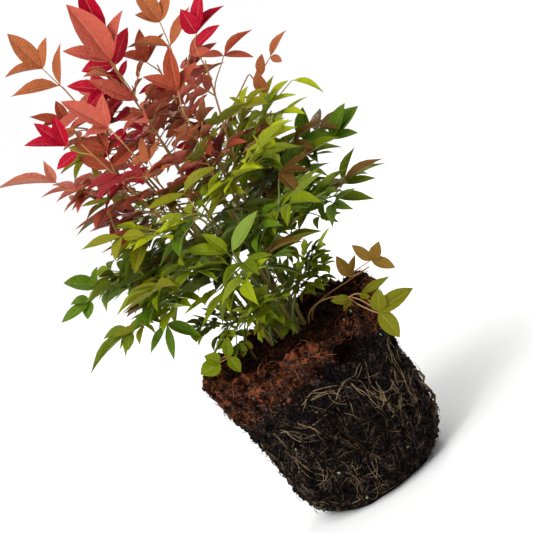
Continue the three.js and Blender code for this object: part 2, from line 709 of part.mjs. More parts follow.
// ---------------------------------------------------------------------------------------------------
// Foliage surfaces: a mass is one closed surface, in which every twig and leaflet grows on from a
// triangle of what carries it, so that they are fused without a seam
// ---------------------------------------------------------------------------------------------------

// A strand is a three-sided stem or twig: rings of three points [upper left, upper right, bottom], seen
// along it. shoots gives, for each stretch that ends in a ring, what grows on its sides.
function strandOf(curve, shares, radiusAt, overAt, shoots = new Map(), tip = null) {
  const rings = shares.map((share) => ringAt(curve, share, radiusAt(share), overAt(share)));
  return { heading: curve.getTangentAt(shares[0]), root: rings[0], rings: rings.slice(1), shoots, tip };
}

function ringAt(curve, share, radius, upward) {
  return ringRound(curve.getPointAt(share), curve.getTangentAt(share), upward, radius);
}

function ringRound(centre, along, upward, radius) {
  const over = squareTo(upward, along);
  const left = new THREE.Vector3().crossVectors(over, along);
  return CORNERS.map(([across, up]) =>
    centre.clone().addScaledVector(left, across * radius).addScaledVector(over, up * radius),
  );
}

function addPoints(surface, points) {
  surface.points.push(...points);
  return points.map((_, i) => surface.points.length - points.length + i);
}

// Carries a strand or a leaflet on from the triangle that it is seated on.
function addShoot(surface, seat, shoot) {
  if (!shoot.rings) return addLeaf(surface, seat, shoot);
  let last = seat;
  shoot.rings.forEach((points, i) => {
    const ring = addPoints(surface, points);
    addSleeve(surface, last, ring, shoot.shoots.get(i) ?? []);
    last = ring;
  });
  if (shoot.tip) addShoot(surface, last, shoot.tip);
  else surface.faces.push(last);
}

// The three sides between two rings. A shoot takes the side that faces its way best.
function addSleeve(surface, [a, b, c], [d, e, f], shoots) {
  const sides = [[a, b, e, d], [a, d, f, c], [c, f, e, b]];
  for (const shoot of shoots) {
    const facing = (side) => faceNormal(surface, side).dot(shoot.heading);
    const side = sides.reduce((best, other) => (facing(other) > facing(best) ? other : best));
    sides.splice(sides.indexOf(side), 1);
    const { seat, rest } = seatOn(surface, side, shoot);
    surface.faces.push(rest);
    addShoot(surface, seat, shoot);
  }
  for (const [p, q, r, s] of sides) surface.faces.push([p, q, r], [p, r, s]);
}

function faceNormal({ points }, [p, q, r]) {
  const edge = points[q].clone().sub(points[p]);
  return edge.cross(points[r].clone().sub(points[p])).normalize();
}

// A shoot is seated on the half of a four-cornered side whose corners lie nearest to its own root.
function seatOn({ points }, side, shoot) {
  let best = { miss: Infinity };
  for (let left = 0; left < 4; left++) {
    const corner = (i) => side[(left + i) % 4];
    for (let spin = 0; spin < 3; spin++) {
      const seat = [0, 1, 2].map((i) => corner(1 + ((i + spin) % 3)));
      const miss = seat.reduce((sum, at, i) => sum + points[at].distanceTo(shoot.root[i]), 0);
      if (miss < best.miss) best = { miss, seat, rest: [corner(3), corner(0), corner(1)] };
    }
  }
  return best;
}

// A leaflet of eight faces and its petiole: its blade is folded up along the midrib like a shallow keel.
function addLeaf(surface, [left, right, bottom], { blade }) {
  const half = 0.5 * LEAF.thickness * blade.length;
  const corners = leafCorners(blade);
  const ridge = [half, -half].map((lift) => leafPoint(blade, LEAF.widestAt, 0, lift));
  const [leftEdge, tip, rightEdge, top, keel] = addPoints(surface, [...corners.slice(1), ...ridge]);
  surface.faces.push([left, right, top], [left, top, leftEdge], [right, rightEdge, top]);
  surface.faces.push([left, leftEdge, keel], [left, keel, bottom]);
  surface.faces.push([right, bottom, keel], [right, keel, rightEdge]);
  surface.faces.push([leftEdge, top, tip], [top, rightEdge, tip]);
  surface.faces.push([leftEdge, tip, keel], [rightEdge, keel, tip]);
}

function leafShoot(leaf) {
  const root = ringRound(leaf.root, leaf.heading, leaf.over, TWIG.end);
  return { blade: leaf, heading: leaf.heading, root };
}

function frondShoot({ curve, sky, leaves }) {
  const beside = [1, -1].filter((where) => leaves.has(where)).map((where) => leafShoot(leaves.get(where)));
  const tip = leaves.has(0) ? leafShoot(leaves.get(0)) : null;
  const shares = [0, 1 - FROND.seat / curve.getLength(), 1];
  const radiusAt = (share) => lerp(TWIG.root, TWIG.end, share);
  return strandOf(curve, shares, radiusAt, () => sky, new Map([[1, beside]]), tip);
}

// The mass as one solid. Where it has no limb of its own, its stem goes all the way to the cane.
function massSolid({ mass, frame, stem, fronds }) {
  const limb = limbs.get(mass.name);
  const length = stem.getLength();
  const shares = [hasOwnLimb(mass) ? GAP / length : 0];
  const shoots = new Map();
  let tip = null;
  for (const station of [...new Set(fronds.map(({ place }) => place.along))].sort((a, b) => a - b)) {
    const here = fronds.filter(({ place }) => place.along === station).map(frondShoot);
    if (station === 1) {
      [tip] = here;
      continue;
    }
    shares.push(station - 0.5 * FROND.seat / length, station + 0.5 * FROND.seat / length);
    shoots.set(shares.length - 2, here);
  }
  shares.push(1);
  const radiusAt = (share) => lerp(limb.shape.tip, TWIG.stemEnd, share);
  const strand = strandOf(stem, shares, radiusAt, frame.overAt, shoots, tip);
  const surface = { points: [], faces: [] };
  if (hasOwnLimb(mass)) return closedSolid(surface, strand);
  const bare = strandOf(limb.curve, PETIOLE_RINGS, limb.radiusAt, () => frame.overAt(0));
  bare.rings.push(strand.root, ...strand.rings);
  bare.shoots = new Map([...shoots].map(([i, shoot]) => [i + PETIOLE_RINGS.length, shoot]));
  return cutFromParent(closedSolid(surface, { ...bare, tip }), limb);
}

function closedSolid(surface, strand) {
  const [a, b, c] = addPoints(surface, strand.root);
  surface.faces.push([a, c, b]);
  addShoot(surface, [a, b, c], strand);
  const geometry = new THREE.BufferGeometry();
  const coordinates = surface.points.flatMap((point) => point.toArray());
  geometry.setAttribute("position", new THREE.Float32BufferAttribute(coordinates, 3));
  geometry.setIndex(surface.faces.flat());
  return solidOf(geometry);
}

// ---------------------------------------------------------------------------------------------------
// Assembly
// ---------------------------------------------------------------------------------------------------

function materialOf(colour, roughness) {
  return new THREE.MeshStandardMaterial({ color: colour, roughness, metalness: 0 });
}

function meshOf(name, solid, colour, roughness) {
  const mesh = new THREE.Mesh(geometryOf(solid), materialOf(colour, roughness));
  mesh.name = name;
  return mesh;
}

const plant = new THREE.Group();
plant.name = "heavenly_bamboo";

// The ball, with a socket for every cane and shoot that stands in it, clear of its sides and its end.
let ball = solidOf(ballGeometry());
for (const mass of MASSES.filter(({ foot }) => foot)) {
  ball = ball.subtract(limbSolid(limbs.get(mass.name), GAP).translate([0, 0, -GAP]));
}
plant.add(meshOf("root_ball", largestBody(ball), COLOURS.ball, ROUGHNESS.ball));

// Canes and shoots stand in the ball, and a stalk is cut clear of the cane that it leaves.
const limbGroup = new THREE.Group();
for (const mass of MASSES.filter(hasOwnLimb)) {
  const limb = limbs.get(mass.name);
  const solid = limb.parent ? cutFromParent(limbSolid(limb), limb) : limbSolid(limb);
  const kind = limb.shape === CANE ? "cane" : "stalk";
  limbGroup.add(meshOf(`${kind}_${mass.name}`, solid, COLOURS[kind], ROUGHNESS.limb));
}
plant.add(limbGroup);

const foliageGroup = new THREE.Group();
for (const grown of foliage) {
  const { name } = grown.mass;
  const colour = COLOURS[name.split("_")[0]];
  foliageGroup.add(meshOf(`foliage_${name}`, massSolid(grown), colour, ROUGHNESS.leaf));
}
plant.add(foliageGroup);

export default plant;
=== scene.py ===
# %% [markdown]
# # A heavenly bamboo on its root ball
# The plant is a clump of thin canes that stands in a ball of peat and coir. Large divided leaves take the
# place of branches: a long stalk, side stalks called fronds, and three to five leaflets on each frond. The
# leaflets are red at the top, yellow-green in the middle and deep green below. The solids of the frame hold
# each mass of foliage in place, and this lesson dresses them: the same growing rule runs again and goes on
# to finer twigs, and the ball gets its peat, fibres and roots.

import math
from collections import namedtuple

import bpy
import numpy as np
from mathutils import Matrix, Quaternion, Vector, geometry
from mathutils.bvhtree import BVHTree


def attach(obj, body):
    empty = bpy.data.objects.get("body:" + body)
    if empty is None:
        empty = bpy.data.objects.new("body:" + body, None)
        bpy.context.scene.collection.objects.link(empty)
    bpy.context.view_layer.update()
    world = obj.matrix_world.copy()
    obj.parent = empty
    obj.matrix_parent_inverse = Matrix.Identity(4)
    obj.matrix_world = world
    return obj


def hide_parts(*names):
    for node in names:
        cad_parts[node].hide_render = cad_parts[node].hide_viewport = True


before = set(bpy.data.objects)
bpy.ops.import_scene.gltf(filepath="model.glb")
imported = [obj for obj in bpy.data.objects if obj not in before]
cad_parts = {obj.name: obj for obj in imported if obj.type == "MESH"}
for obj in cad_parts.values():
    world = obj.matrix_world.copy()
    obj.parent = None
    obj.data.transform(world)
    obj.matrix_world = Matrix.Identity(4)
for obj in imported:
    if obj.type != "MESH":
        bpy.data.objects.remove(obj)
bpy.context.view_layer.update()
MM = 0.001
NODES = sorted(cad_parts)

# %% [markdown]
# ## Room to look at it in
# A small studio: a pale floor without an edge, a pale sky, one wide sun like a window and two soft lamps
# that put a sparkle on the leaves. The plant looks as if it were held up at a slant. It could be tilted for
# that, but then it would leave its frame, so the camera is rolled instead. It looks down a little.

# %% Floor and lamps
LOOK_AT = Vector((16, 0, 199)) * MM
FLOOR_REACH = 6


def shown(thing):
    bpy.context.scene.collection.objects.link(thing)
    return thing


def plain_mesh(name, points, faces, edges=()):
    """An object that isn't shown yet."""
    mesh = bpy.data.meshes.new(name)
    mesh.from_pydata(points, edges, faces)
    return bpy.data.objects.new(name, mesh)


def hang(name, lamp, place, target):
    thing = shown(bpy.data.objects.new(name, lamp))
    thing.location = place
    thing.rotation_euler = (Vector(target) - Vector(place)).to_track_quat("-Z", "Y").to_euler()


def soft_light(name, place, size, watts):
    lamp = bpy.data.lights.new(name, "AREA")
    lamp.shape = "DISK"
    lamp.size = size
    lamp.energy = watts
    hang(name, lamp, place, LOOK_AT)


def soft_sun(name, side, spread, strength):
    lamp = bpy.data.lights.new(name, "SUN")
    lamp.angle = math.radians(spread)
    lamp.energy = strength
    hang(name, lamp, side, (0, 0, 0))


def paint(name, colour, roughness=0.5, shine=0.5):
    """A material, with its principled shader."""
    material = bpy.data.materials.new(name)
    material.use_nodes = True
    shader = material.node_tree.nodes["Principled BSDF"]
    shader.inputs["Base Color"].default_value = (*colour, 1)
    shader.inputs["Roughness"].default_value = roughness
    shader.inputs["Specular IOR Level"].default_value = shine
    return material, shader


floor_corners = [(x * FLOOR_REACH, y * FLOOR_REACH, 0) for x, y in ((-1, -1), (1, -1), (1, 1), (-1, 1))]
floor = shown(plain_mesh("floor", floor_corners, [(0, 1, 2, 3)]))
floor.data.materials.append(paint("pale_floor", (0.97, 0.97, 0.97), 0.9)[0])
soft_sun("window", (-0.5, -0.9, 1.5), 50, 1.9)
soft_light("sparkle", (-0.5, -1.0, 0.9), 0.35, 5)
soft_light("rim", (0.5, 1.1, 0.8), 0.6, 6)

# %% [markdown]
# The sky looks white behind the plant, but a light that strong would wash out the leaves. A plain dim sky
# would be grey, so the camera sees this one at full strength and the plant is lit by a weaker one.

# %% Sky
SKY_LIGHT = 0.55
world = bpy.data.worlds.new("studio")
world.use_nodes = True
dome = world.node_tree.nodes["Background"]
seen = world.node_tree.nodes.new("ShaderNodeLightPath").outputs["Is Camera Ray"]
strength = world.node_tree.nodes.new("ShaderNodeMapRange")
strength.inputs["To Min"].default_value = SKY_LIGHT
world.node_tree.links.new(seen, strength.inputs["Value"])
world.node_tree.links.new(strength.outputs[0], dome.inputs["Strength"])
dome.inputs["Color"].default_value = (1, 1, 1, 1)
bpy.context.scene.world = world
bpy.context.scene.view_settings.view_transform = "Standard"

# %% [markdown]
# The camera's axes are worked out from how far it looks down and how far it is rolled. A constraint would
# point it at the plant too, but it knows no roll.

# %% Camera
DISTANCE = 2.0
ELEVATION = math.radians(11)
ROLL = math.radians(34)
FIELD = math.radians(12.16)
level = Vector((0, math.cos(ELEVATION), -math.sin(ELEVATION)))
right = Vector((1, 0, 0))
above = right.cross(level)
camera_up = above * math.cos(ROLL) + right * math.sin(ROLL)
camera_right = right * math.cos(ROLL) - above * math.sin(ROLL)
camera = shown(bpy.data.objects.new("camera", bpy.data.cameras.new("camera")))
camera.data.angle = FIELD
camera.location = LOOK_AT - level * DISTANCE
camera.rotation_euler = Matrix((camera_right, camera_up, -level)).transposed().to_euler()
bpy.context.scene.camera = camera
print("camera at", [round(v, 3) for v in camera.location])

# %% [markdown]
# ## The growing rule
# A plant could be sculpted leaf by leaf, but a rule makes it even on all sides and repeatable. This is the
# rule that made the solids, in millimetres: a cane or stalk carries a mass, the mass has a straight stem,
# fronds leave the stem by a fixed pattern, and leaflets end each frond. Chances come from a seeded row of
# numbers, so that every run grows the same plant.

# %% Limbs, fronds and leaflets
GOLDEN_ANGLE = 137.508
FIRST_SEED = 100
# radii at the ball and at the end, how much the foot swells, and how deep it stands in the ball
CANE = {"foot": 3.1, "tip": 1.6, "flare": 1.35, "sunk": 3.5}
SHOOT = {"foot": 1.5, "tip": 1.1, "flare": 1.2, "sunk": 3}
STALK = {"foot": 1.5, "tip": 1.1, "flare": 1, "sunk": 0}
# how far a limb's ends pull on its curve, how canes lean outwards, and how steeply stalks leave them
HANDLE = 0.4
LEAN = 0.12
RISE = 0.9
# a frond's bend and the size of its side leaflets, its length low and high on the stem, and its chances
FROND = {"bend": 0.55, "side": 0.88, "lowest": 1.25, "highest": 0.75, "vary": 0.14, "sway": 8, "tries": 6}
LEAF = {"widest": 0.42, "fold": 0.16, "droop": 0.1, "vary": 0.2, "tries": 8}
LEAF_TURNS = {"angle": 56, "turn": 14, "pitch": 17, "roll": 25}
# each new try is this much shorter, and a twig needs this much room round it
RETRY = 0.94
TWIG_ROOM = 0.4
TWIG_POINTS = 7

# %% [markdown]
# Each kind of mass has its habit, which the solids have too: a crown's fronds stand in a spiral, and those
# of a leaf in pairs. The finer habit is for the dressing alone. It says how many fine fronds stand in each
# gap between the solid's own, how small the leaflets are, and which share of the fronds stands at all,
# because open sky shows between the real ones.

# %% Habits
# number of fronds, their opening in degrees, and the lengths of the stem, the reach, a frond and a leaflet
Habit = namedtuple("Habit", "layout count opening stem reach frond leaf")
HABITS = {
    "crown": Habit("spiral", 8, 72, 100, 72, 26, 41),
    "spray": Habit("pairs", 7, 52, 56, 70, 24, 40),
    "skirt": Habit("pairs", 7, 50, 62, 74, 26, 43),
    "thicket": Habit("spiral", 7, 80, 34, 40, 14, 21),
    "sprig": Habit("pairs", 3, 60, 26, 46, 14, 28),
}
# sizes are against the solid's, nod is in degrees, and inward is how far the leaflets face the middle
Finer = namedtuple("Finer", "between leaf frond frond_leaf slim nod sag inward standing")
FINER = {
    "crown": Finer(2, 0.74, 0.9, 0.5, 0.4, 0, 0.1, 0.35, 0.66),
    "spray": Finer(2, 0.84, 0.85, 0.62, 0.34, -3, 0.06, 0.3, 0.76),
    "skirt": Finer(2, 0.86, 0.9, 0.64, 0.31, -3, 0.05, 0.12, 0.82),
    "thicket": Finer(3, 0.7, 1.15, 0.56, 0.57, 0, 0.1, 0.35, 0.82),
    "sprig": Finer(0, 1, 1, 1, 0.5, 0, 0.1, 2.5, 1),
}
# how far a frond may turn from its place round the stem, in degrees
WANDER = {"skirt": 12}
WANDER_ELSE = 20
# the share of fronds in masses that differ from their habit
OPEN_MASSES = {
    "crown_left": 0.52,
    "crown_right": 0.52,
    "crown_far_left": 0.3,
    "crown_far_right": 0.15,
    "crown_front_left": 0.46,
    "crown_front_right": 0.5,
    "lime_front": 0.5,
    "lime_front_left": 0.55,
    "lime_front_right": 0.5,
    "lime_right": 0.62,
    "bronze_left": 0.25,
    "skirt_front": 0.66,
    "skirt_front_left": 0.75,
    "skirt_front_right": 0.95,
    "thicket_front": 0.8,
}
print("habits:", *HABITS)

# %% [markdown]
# Where the masses are is this plant's own shape, so a table sets them: canes with red crowns, leaf stalks
# with yellow-green and bronze leaves below, the deep green skirt and the small leaves at the foot. Chance
# could place them too, but it would grow another plant.

# %% Masses
# name, habit, foot on the ball or (cane, height) that it leaves, end of the stem, rise in degrees
MASSES = [
    ("crown_peak_left", "crown", (-8, 3), (-38, 14, 405), 82),
    ("crown_peak", "crown", (0, -5), (4, -8, 412), 88),
    ("crown_peak_right", "crown", (8, 2), (48, 12, 388), 80),
    ("crown_left", "crown", (-14, -7), (-50, -26, 366), 76),
    ("crown_right", "crown", (15, -8), (66, -22, 366), 72),
    ("crown_back_left", "crown", (-9, 13), (-34, 54, 382), 75),
    ("crown_back_right", "crown", (9, 12), (34, 58, 376), 75),
    ("crown_front_left", "crown", (-5, -16), (-22, -58, 352), 72),
    ("crown_front_right", "crown", (7, -16), (30, -60, 348), 72),
    ("crown_far_left", "spray", ("crown_left", 252), (-82, 14, 338), 34),
    ("crown_far_right", "spray", ("crown_peak_right", 256), (88, 4, 334), 30),
    ("crown_far_back", "spray", ("crown_back_left", 252), (2, 86, 332), 34),
    ("lime_right", "spray", ("crown_right", 232), (88, -8, 302), 26),
    ("lime_front_right", "spray", ("crown_front_right", 218), (50, -68, 288), 20),
    ("lime_front", "spray", ("crown_front_left", 222), (-4, -84, 280), 16),
    ("lime_front_left", "spray", ("crown_left", 222), (-56, -56, 286), 18),
    ("bronze_left", "spray", ("crown_peak_left", 226), (-64, 16, 280), 16),
    ("bronze_back_left", "spray", ("crown_back_left", 222), (-48, 70, 286), 18),
    ("bronze_back_right", "spray", ("crown_back_right", 222), (52, 68, 290), 20),
    ("skirt_right_high", "skirt", ("crown_peak_right", 206), (90, 14, 260), 10),
    ("skirt_right_low", "skirt", ("crown_right", 178), (86, -17, 226), 4),
    ("skirt_front_right", "skirt", ("crown_front_right", 190), (46, -74, 246), 6),
    ("skirt_front", "skirt", ("crown_front_left", 170), (0, -86, 220), 2),
    ("skirt_front_left", "skirt", ("crown_front_left", 196), (-52, -68, 246), 6),
    ("skirt_left_high", "skirt", ("crown_peak_left", 206), (-90, 6, 258), 10),
    ("skirt_left_low", "skirt", ("crown_left", 176), (-86, -22, 227), 3),
    ("skirt_back_left", "skirt", ("crown_back_left", 190), (-60, 62, 238), 6),
    ("skirt_back", "skirt", ("crown_back_left", 172), (-2, 88, 226), 4),
    ("skirt_back_right", "skirt", ("crown_back_right", 188), (58, 64, 236), 6),
    ("thicket_left", "thicket", ("crown_left", 158), (-46, -8, 186), 30),
    ("thicket_front", "thicket", ("crown_front_left", 156), (-6, -46, 184), 30),
    ("thicket_right", "thicket", ("crown_right", 158), (46, -20, 186), 30),
    ("thicket_back", "thicket", ("crown_back_right", 158), (8, 48, 186), 30),
    ("sprig_right_low", "sprig", (18, -14), (75, -62, 118), -60),
    ("sprig_right_high", "sprig", (22, -4), (84, -14, 155), 2),
    ("sprig_left", "sprig", (-32, -4), (-62, -26, 162), 0),
]
# masses whose leaflets face a side of their own, in degrees
FACING = dict.fromkeys(["crown_peak_left", "crown_peak", "crown_peak_right"], -90)
FACING |= dict.fromkeys(["sprig_right_low", "sprig_right_high", "sprig_left"], -80)
print("masses:", len(MASSES))

# %% [markdown]
# ## The root ball's shape
# The ball keeps the shape of its pot: a flat underside, a crumbled lower corner, a side that widens
# upwards, a proud fibrous collar and a dished top inside a ragged rim. It could be a cylinder with a
# sculpted surface, but worked out as rings of points it has the very lumps of its solid.

# %% The ball's own measures
RIM = 146
EDGE = 4
FOOT_RADIUS = 63.5
WIDENING = 0.07
CORNER = {"height": 30, "drawn in": 0.28}
COLLAR = {"from": 96, "to": 116, "proud": 5, "wander": 9}
RIM_FADES = (0.55, 0.9)
# size, waves around and up, and where each starts
LUMPS = [(1.5, 2, 0.7, 0.4, 0.7), (1.2, 5, 1.5, 2.1, 3.6), (0.9, 9, 2.6, 5, 2.2), (0.7, 14, 3.6, 1.2, 2)]
# azimuth, rise and width
RIM_BUMPS = [(8, 5, 9), (172, 3, 22), (60, 3, 12), (-66, -15, 12), (-115, -3, 20)]
TOP_SHARES = [0, 0.3, 0.6, 0.82, 0.94, 1]
TOP_DEPTHS = [1, 3, 8, 6, 0, 4]


def smooth(value, low, high):
    share = np.clip((value - low) / (high - low), 0, 1)
    return share * share * (3 - 2 * share)


def lump(azimuth, height):
    climb = 2 * np.pi * height / RIM
    return sum(
        size * np.sin(around * azimuth + turn) * np.cos(up * climb + start)
        for size, around, up, turn, start in LUMPS
    )


def ball_radius(azimuth, height):
    corner = np.maximum(0, 1 - height / CORNER["height"])
    side = (FOOT_RADIUS + WIDENING * height) * (1 - CORNER["drawn in"] * corner**2)
    wander = COLLAR["wander"] * np.sin(3 * azimuth + 2 * np.sin(2 * azimuth))
    collar = COLLAR["proud"] * smooth(height + wander, COLLAR["from"], COLLAR["to"])
    return side + collar + lump(azimuth, height)


def degrees_from(middle, azimuth):
    return (np.degrees(azimuth) - middle + 540) % 360 - 180


def rim_height(azimuth, share):
    height = RIM + 0.5 * lump(azimuth, RIM + FOOT_RADIUS * (1 - share))
    for middle, rise, width in RIM_BUMPS:
        bump = np.exp(-((degrees_from(middle, azimuth) / width) ** 2))
        height = height + rise * bump * smooth(share, *RIM_FADES)
    return height


def top_height(azimuth, share):
    return rim_height(azimuth, share) - np.interp(share, TOP_SHARES, TOP_DEPTHS)


def ground_under(x, y):
    azimuth = math.atan2(y, x)
    return float(top_height(azimuth, math.hypot(x, y) / ball_radius(azimuth, RIM - EDGE)))


print("ground at the foot of the canes:", round(ground_under(0, -5), 1))

# %% [markdown]
# ## Limbs, stems and places
# A limb is a curve with two slopes: it leaves the ball or its cane at a set slope and runs into the stem
# of its mass. Blender's own curve objects could hold it, but a short list of points is all that the rule
# has to read, so a small path class does it.

# %% Chances, directions and paths
UP = Vector((0, 0, 1))
SLOPE_STEP = 0.02


def dice(seed):
    """Even chances between -1 and 1 that are the same at every run."""
    state = seed

    def roll():
        nonlocal state
        full = 0xFFFFFFFF
        state = (state + 0x6D2B79F5) & full
        mixed = ((state ^ (state >> 15)) * (state | 1)) & full
        mixed ^= (mixed + ((mixed ^ (mixed >> 7)) * (mixed | 61) & full)) & full
        return ((mixed ^ (mixed >> 14)) & full) / 2**31 - 1

    return roll


def outward(azimuth, rise):
    turn, climb = math.radians(azimuth), math.radians(rise)
    return Vector((math.cos(turn) * math.cos(climb), math.sin(turn) * math.cos(climb), math.sin(climb)))


def square_to(vector, axis):
    return (vector - vector.dot(axis) * axis).normalized()


class Path:
    """A curve through points, read by its share of the length."""

    def __init__(self, points):
        self.points = points
        steps = [(b - a).length for a, b in zip(points, points[1:])]
        self.marks = np.concatenate([[0], np.cumsum(steps)])
        self.length = float(self.marks[-1])

    def at(self, share):
        where = share * self.length
        i = int(np.clip(np.searchsorted(self.marks, where) - 1, 0, len(self.points) - 2))
        part = (where - self.marks[i]) / (self.marks[i + 1] - self.marks[i])
        return self.points[i].lerp(self.points[i + 1], part)

    def slope(self, share):
        return (self.at(min(1, share + SLOPE_STEP)) - self.at(max(0, share - SLOPE_STEP))).normalized()


def bend(start, first, second, end, count=24):
    return Path(geometry.interpolate_bezier(start, first, second, end, count))


# %% [markdown]
# A mass knows its limb and its stem. A cane leaves the ball almost upright and leans out a little, and a
# stalk leaves its cane at a set height. The foot of a cane flares over the lowest eighth of its length.

# %% Limbs and stems
LIMB_STEPS = 400
FLARE_SHARE = 1 / 8


class Mass:
    """One mass of foliage with its limb, its stem and what grows on it."""

    def __init__(self, index, name, habit, root, end, rise, limbs):
        self.name, self.kind = name, name.split("_")[0]
        self.habit, self.finer = HABITS[habit], FINER[habit]
        self.end = Vector(end)
        azimuth = math.degrees(math.atan2(end[1], end[0]))
        self.heading = outward(azimuth, rise)
        self.start = self.end - self.heading * self.habit.stem
        self.standing = not isinstance(root[0], str)
        if self.standing:
            self.shape = CANE if habit == "crown" else SHOOT
            base = Vector((*root, ground_under(*root) - self.shape["sunk"]))
            leave = (UP + LEAN * Vector((*root, 0)).normalized()).normalized()
        else:
            self.shape = STALK
            cane = limbs[root[0]].limb
            up_the_cane = (cane.at(i / LIMB_STEPS) for i in range(LIMB_STEPS + 1))
            base = next(point for point in up_the_cane if point.z >= root[1])
            flat = self.start - base
            leave = (Vector((flat.x, flat.y, 0)).normalized() + RISE * UP).normalized()
        pull = HANDLE * (self.start - base).length
        self.limb = bend(base, base + pull * leave, self.start - pull * self.heading, self.start)
        self.roll = dice(FIRST_SEED + index)
        self.wander = WANDER.get(habit, WANDER_ELSE)
        facing = outward(FACING.get(name, azimuth + 180), 0)
        self.sky = (UP + self.finer.inward * facing).normalized()
        self.side = self.heading.cross(square_to(self.sky, self.heading))
        self.fronds = []
        limbs[name] = self

    def radius(self, share):
        flare = 1 + (self.shape["flare"] - 1) * max(0, 1 - share / FLARE_SHARE)
        return flare * (self.shape["foot"] + (self.shape["tip"] - self.shape["foot"]) * share)


masses = {}
for index, row in enumerate(MASSES):
    Mass(index, *row, masses)
print("longest limb:", round(max(m.limb.length for m in masses.values())), "mm")

# %% [markdown]
# ## Room for each leaf
# Two leaves of a real plant touch but never pass through each other. The rule asks a bounding tree whether
# a new leaf's outline cuts one that is there already, and tries again with another turn if it does. A
# physics simulation would settle the leaves as well, but for a thousand of them it takes minutes.

# %% Obstacles
LIMB_PIECES = 8
LIMB_ROOM = 0.5


class Room:
    """What has grown so far, each with a small tree of its faces, a ball round it and its owner."""

    def __init__(self):
        self.trees, self.owners, self.middles, self.sizes = [], [], np.zeros((0, 3)), np.zeros(0)

    def find(self, corners, faces):
        middle = sum(corners, Vector()) / len(corners)
        size = max((corner - middle).length for corner in corners)
        return BVHTree.FromPolygons(corners, faces), np.array(middle), size

    def free(self, found, owner=None):
        """Whether nothing is in the way, apart from what has the same owner."""
        tree, middle, size = found
        near = np.flatnonzero(np.linalg.norm(self.middles - middle, axis=1) < self.sizes + size)
        return not any(tree.overlap(self.trees[i]) for i in near if not owner or self.owners[i] != owner)

    def keep(self, found, owner=None):
        tree, middle, size = found
        self.trees.append(tree)
        self.owners.append(owner)
        self.middles = np.vstack([self.middles, middle])
        self.sizes = np.append(self.sizes, size)


def rod(start, end, radius):
    """Corners and faces of a three-sided rod."""
    way = (end - start).normalized()
    across = way.orthogonal().normalized()
    ring = [Quaternion(way, math.radians(turn)) @ across * radius for turn in (0, 120, 240)]
    corners = [start + r for r in ring] + [end + r for r in ring]
    return corners, [(i, (i + 1) % 3, 3 + (i + 1) % 3, 3 + i) for i in range(3)]


room = Room()
for mass in masses.values():
    steps = [mass.limb.at(i / LIMB_PIECES) for i in range(LIMB_PIECES + 1)] + [mass.end]
    for i, (a, b) in enumerate(zip(steps, steps[1:])):
        room.keep(room.find(*rod(a, b, mass.radius(min(1, i / LIMB_PIECES)) + LIMB_ROOM)), mass.name)
print("limb pieces in the room:", len(room.trees))

# %% [markdown]
# ## Leading sprays
# Before the rule runs, leading sprays grow from a table: the tall ones that give the crown its outline, the
# long stalks at the sides and the sprigs over the rim. In a mass of the crown they take the place of the
# top fronds, and the sprigs have no others. They could be left to chance, but then every crown has the
# same round top.

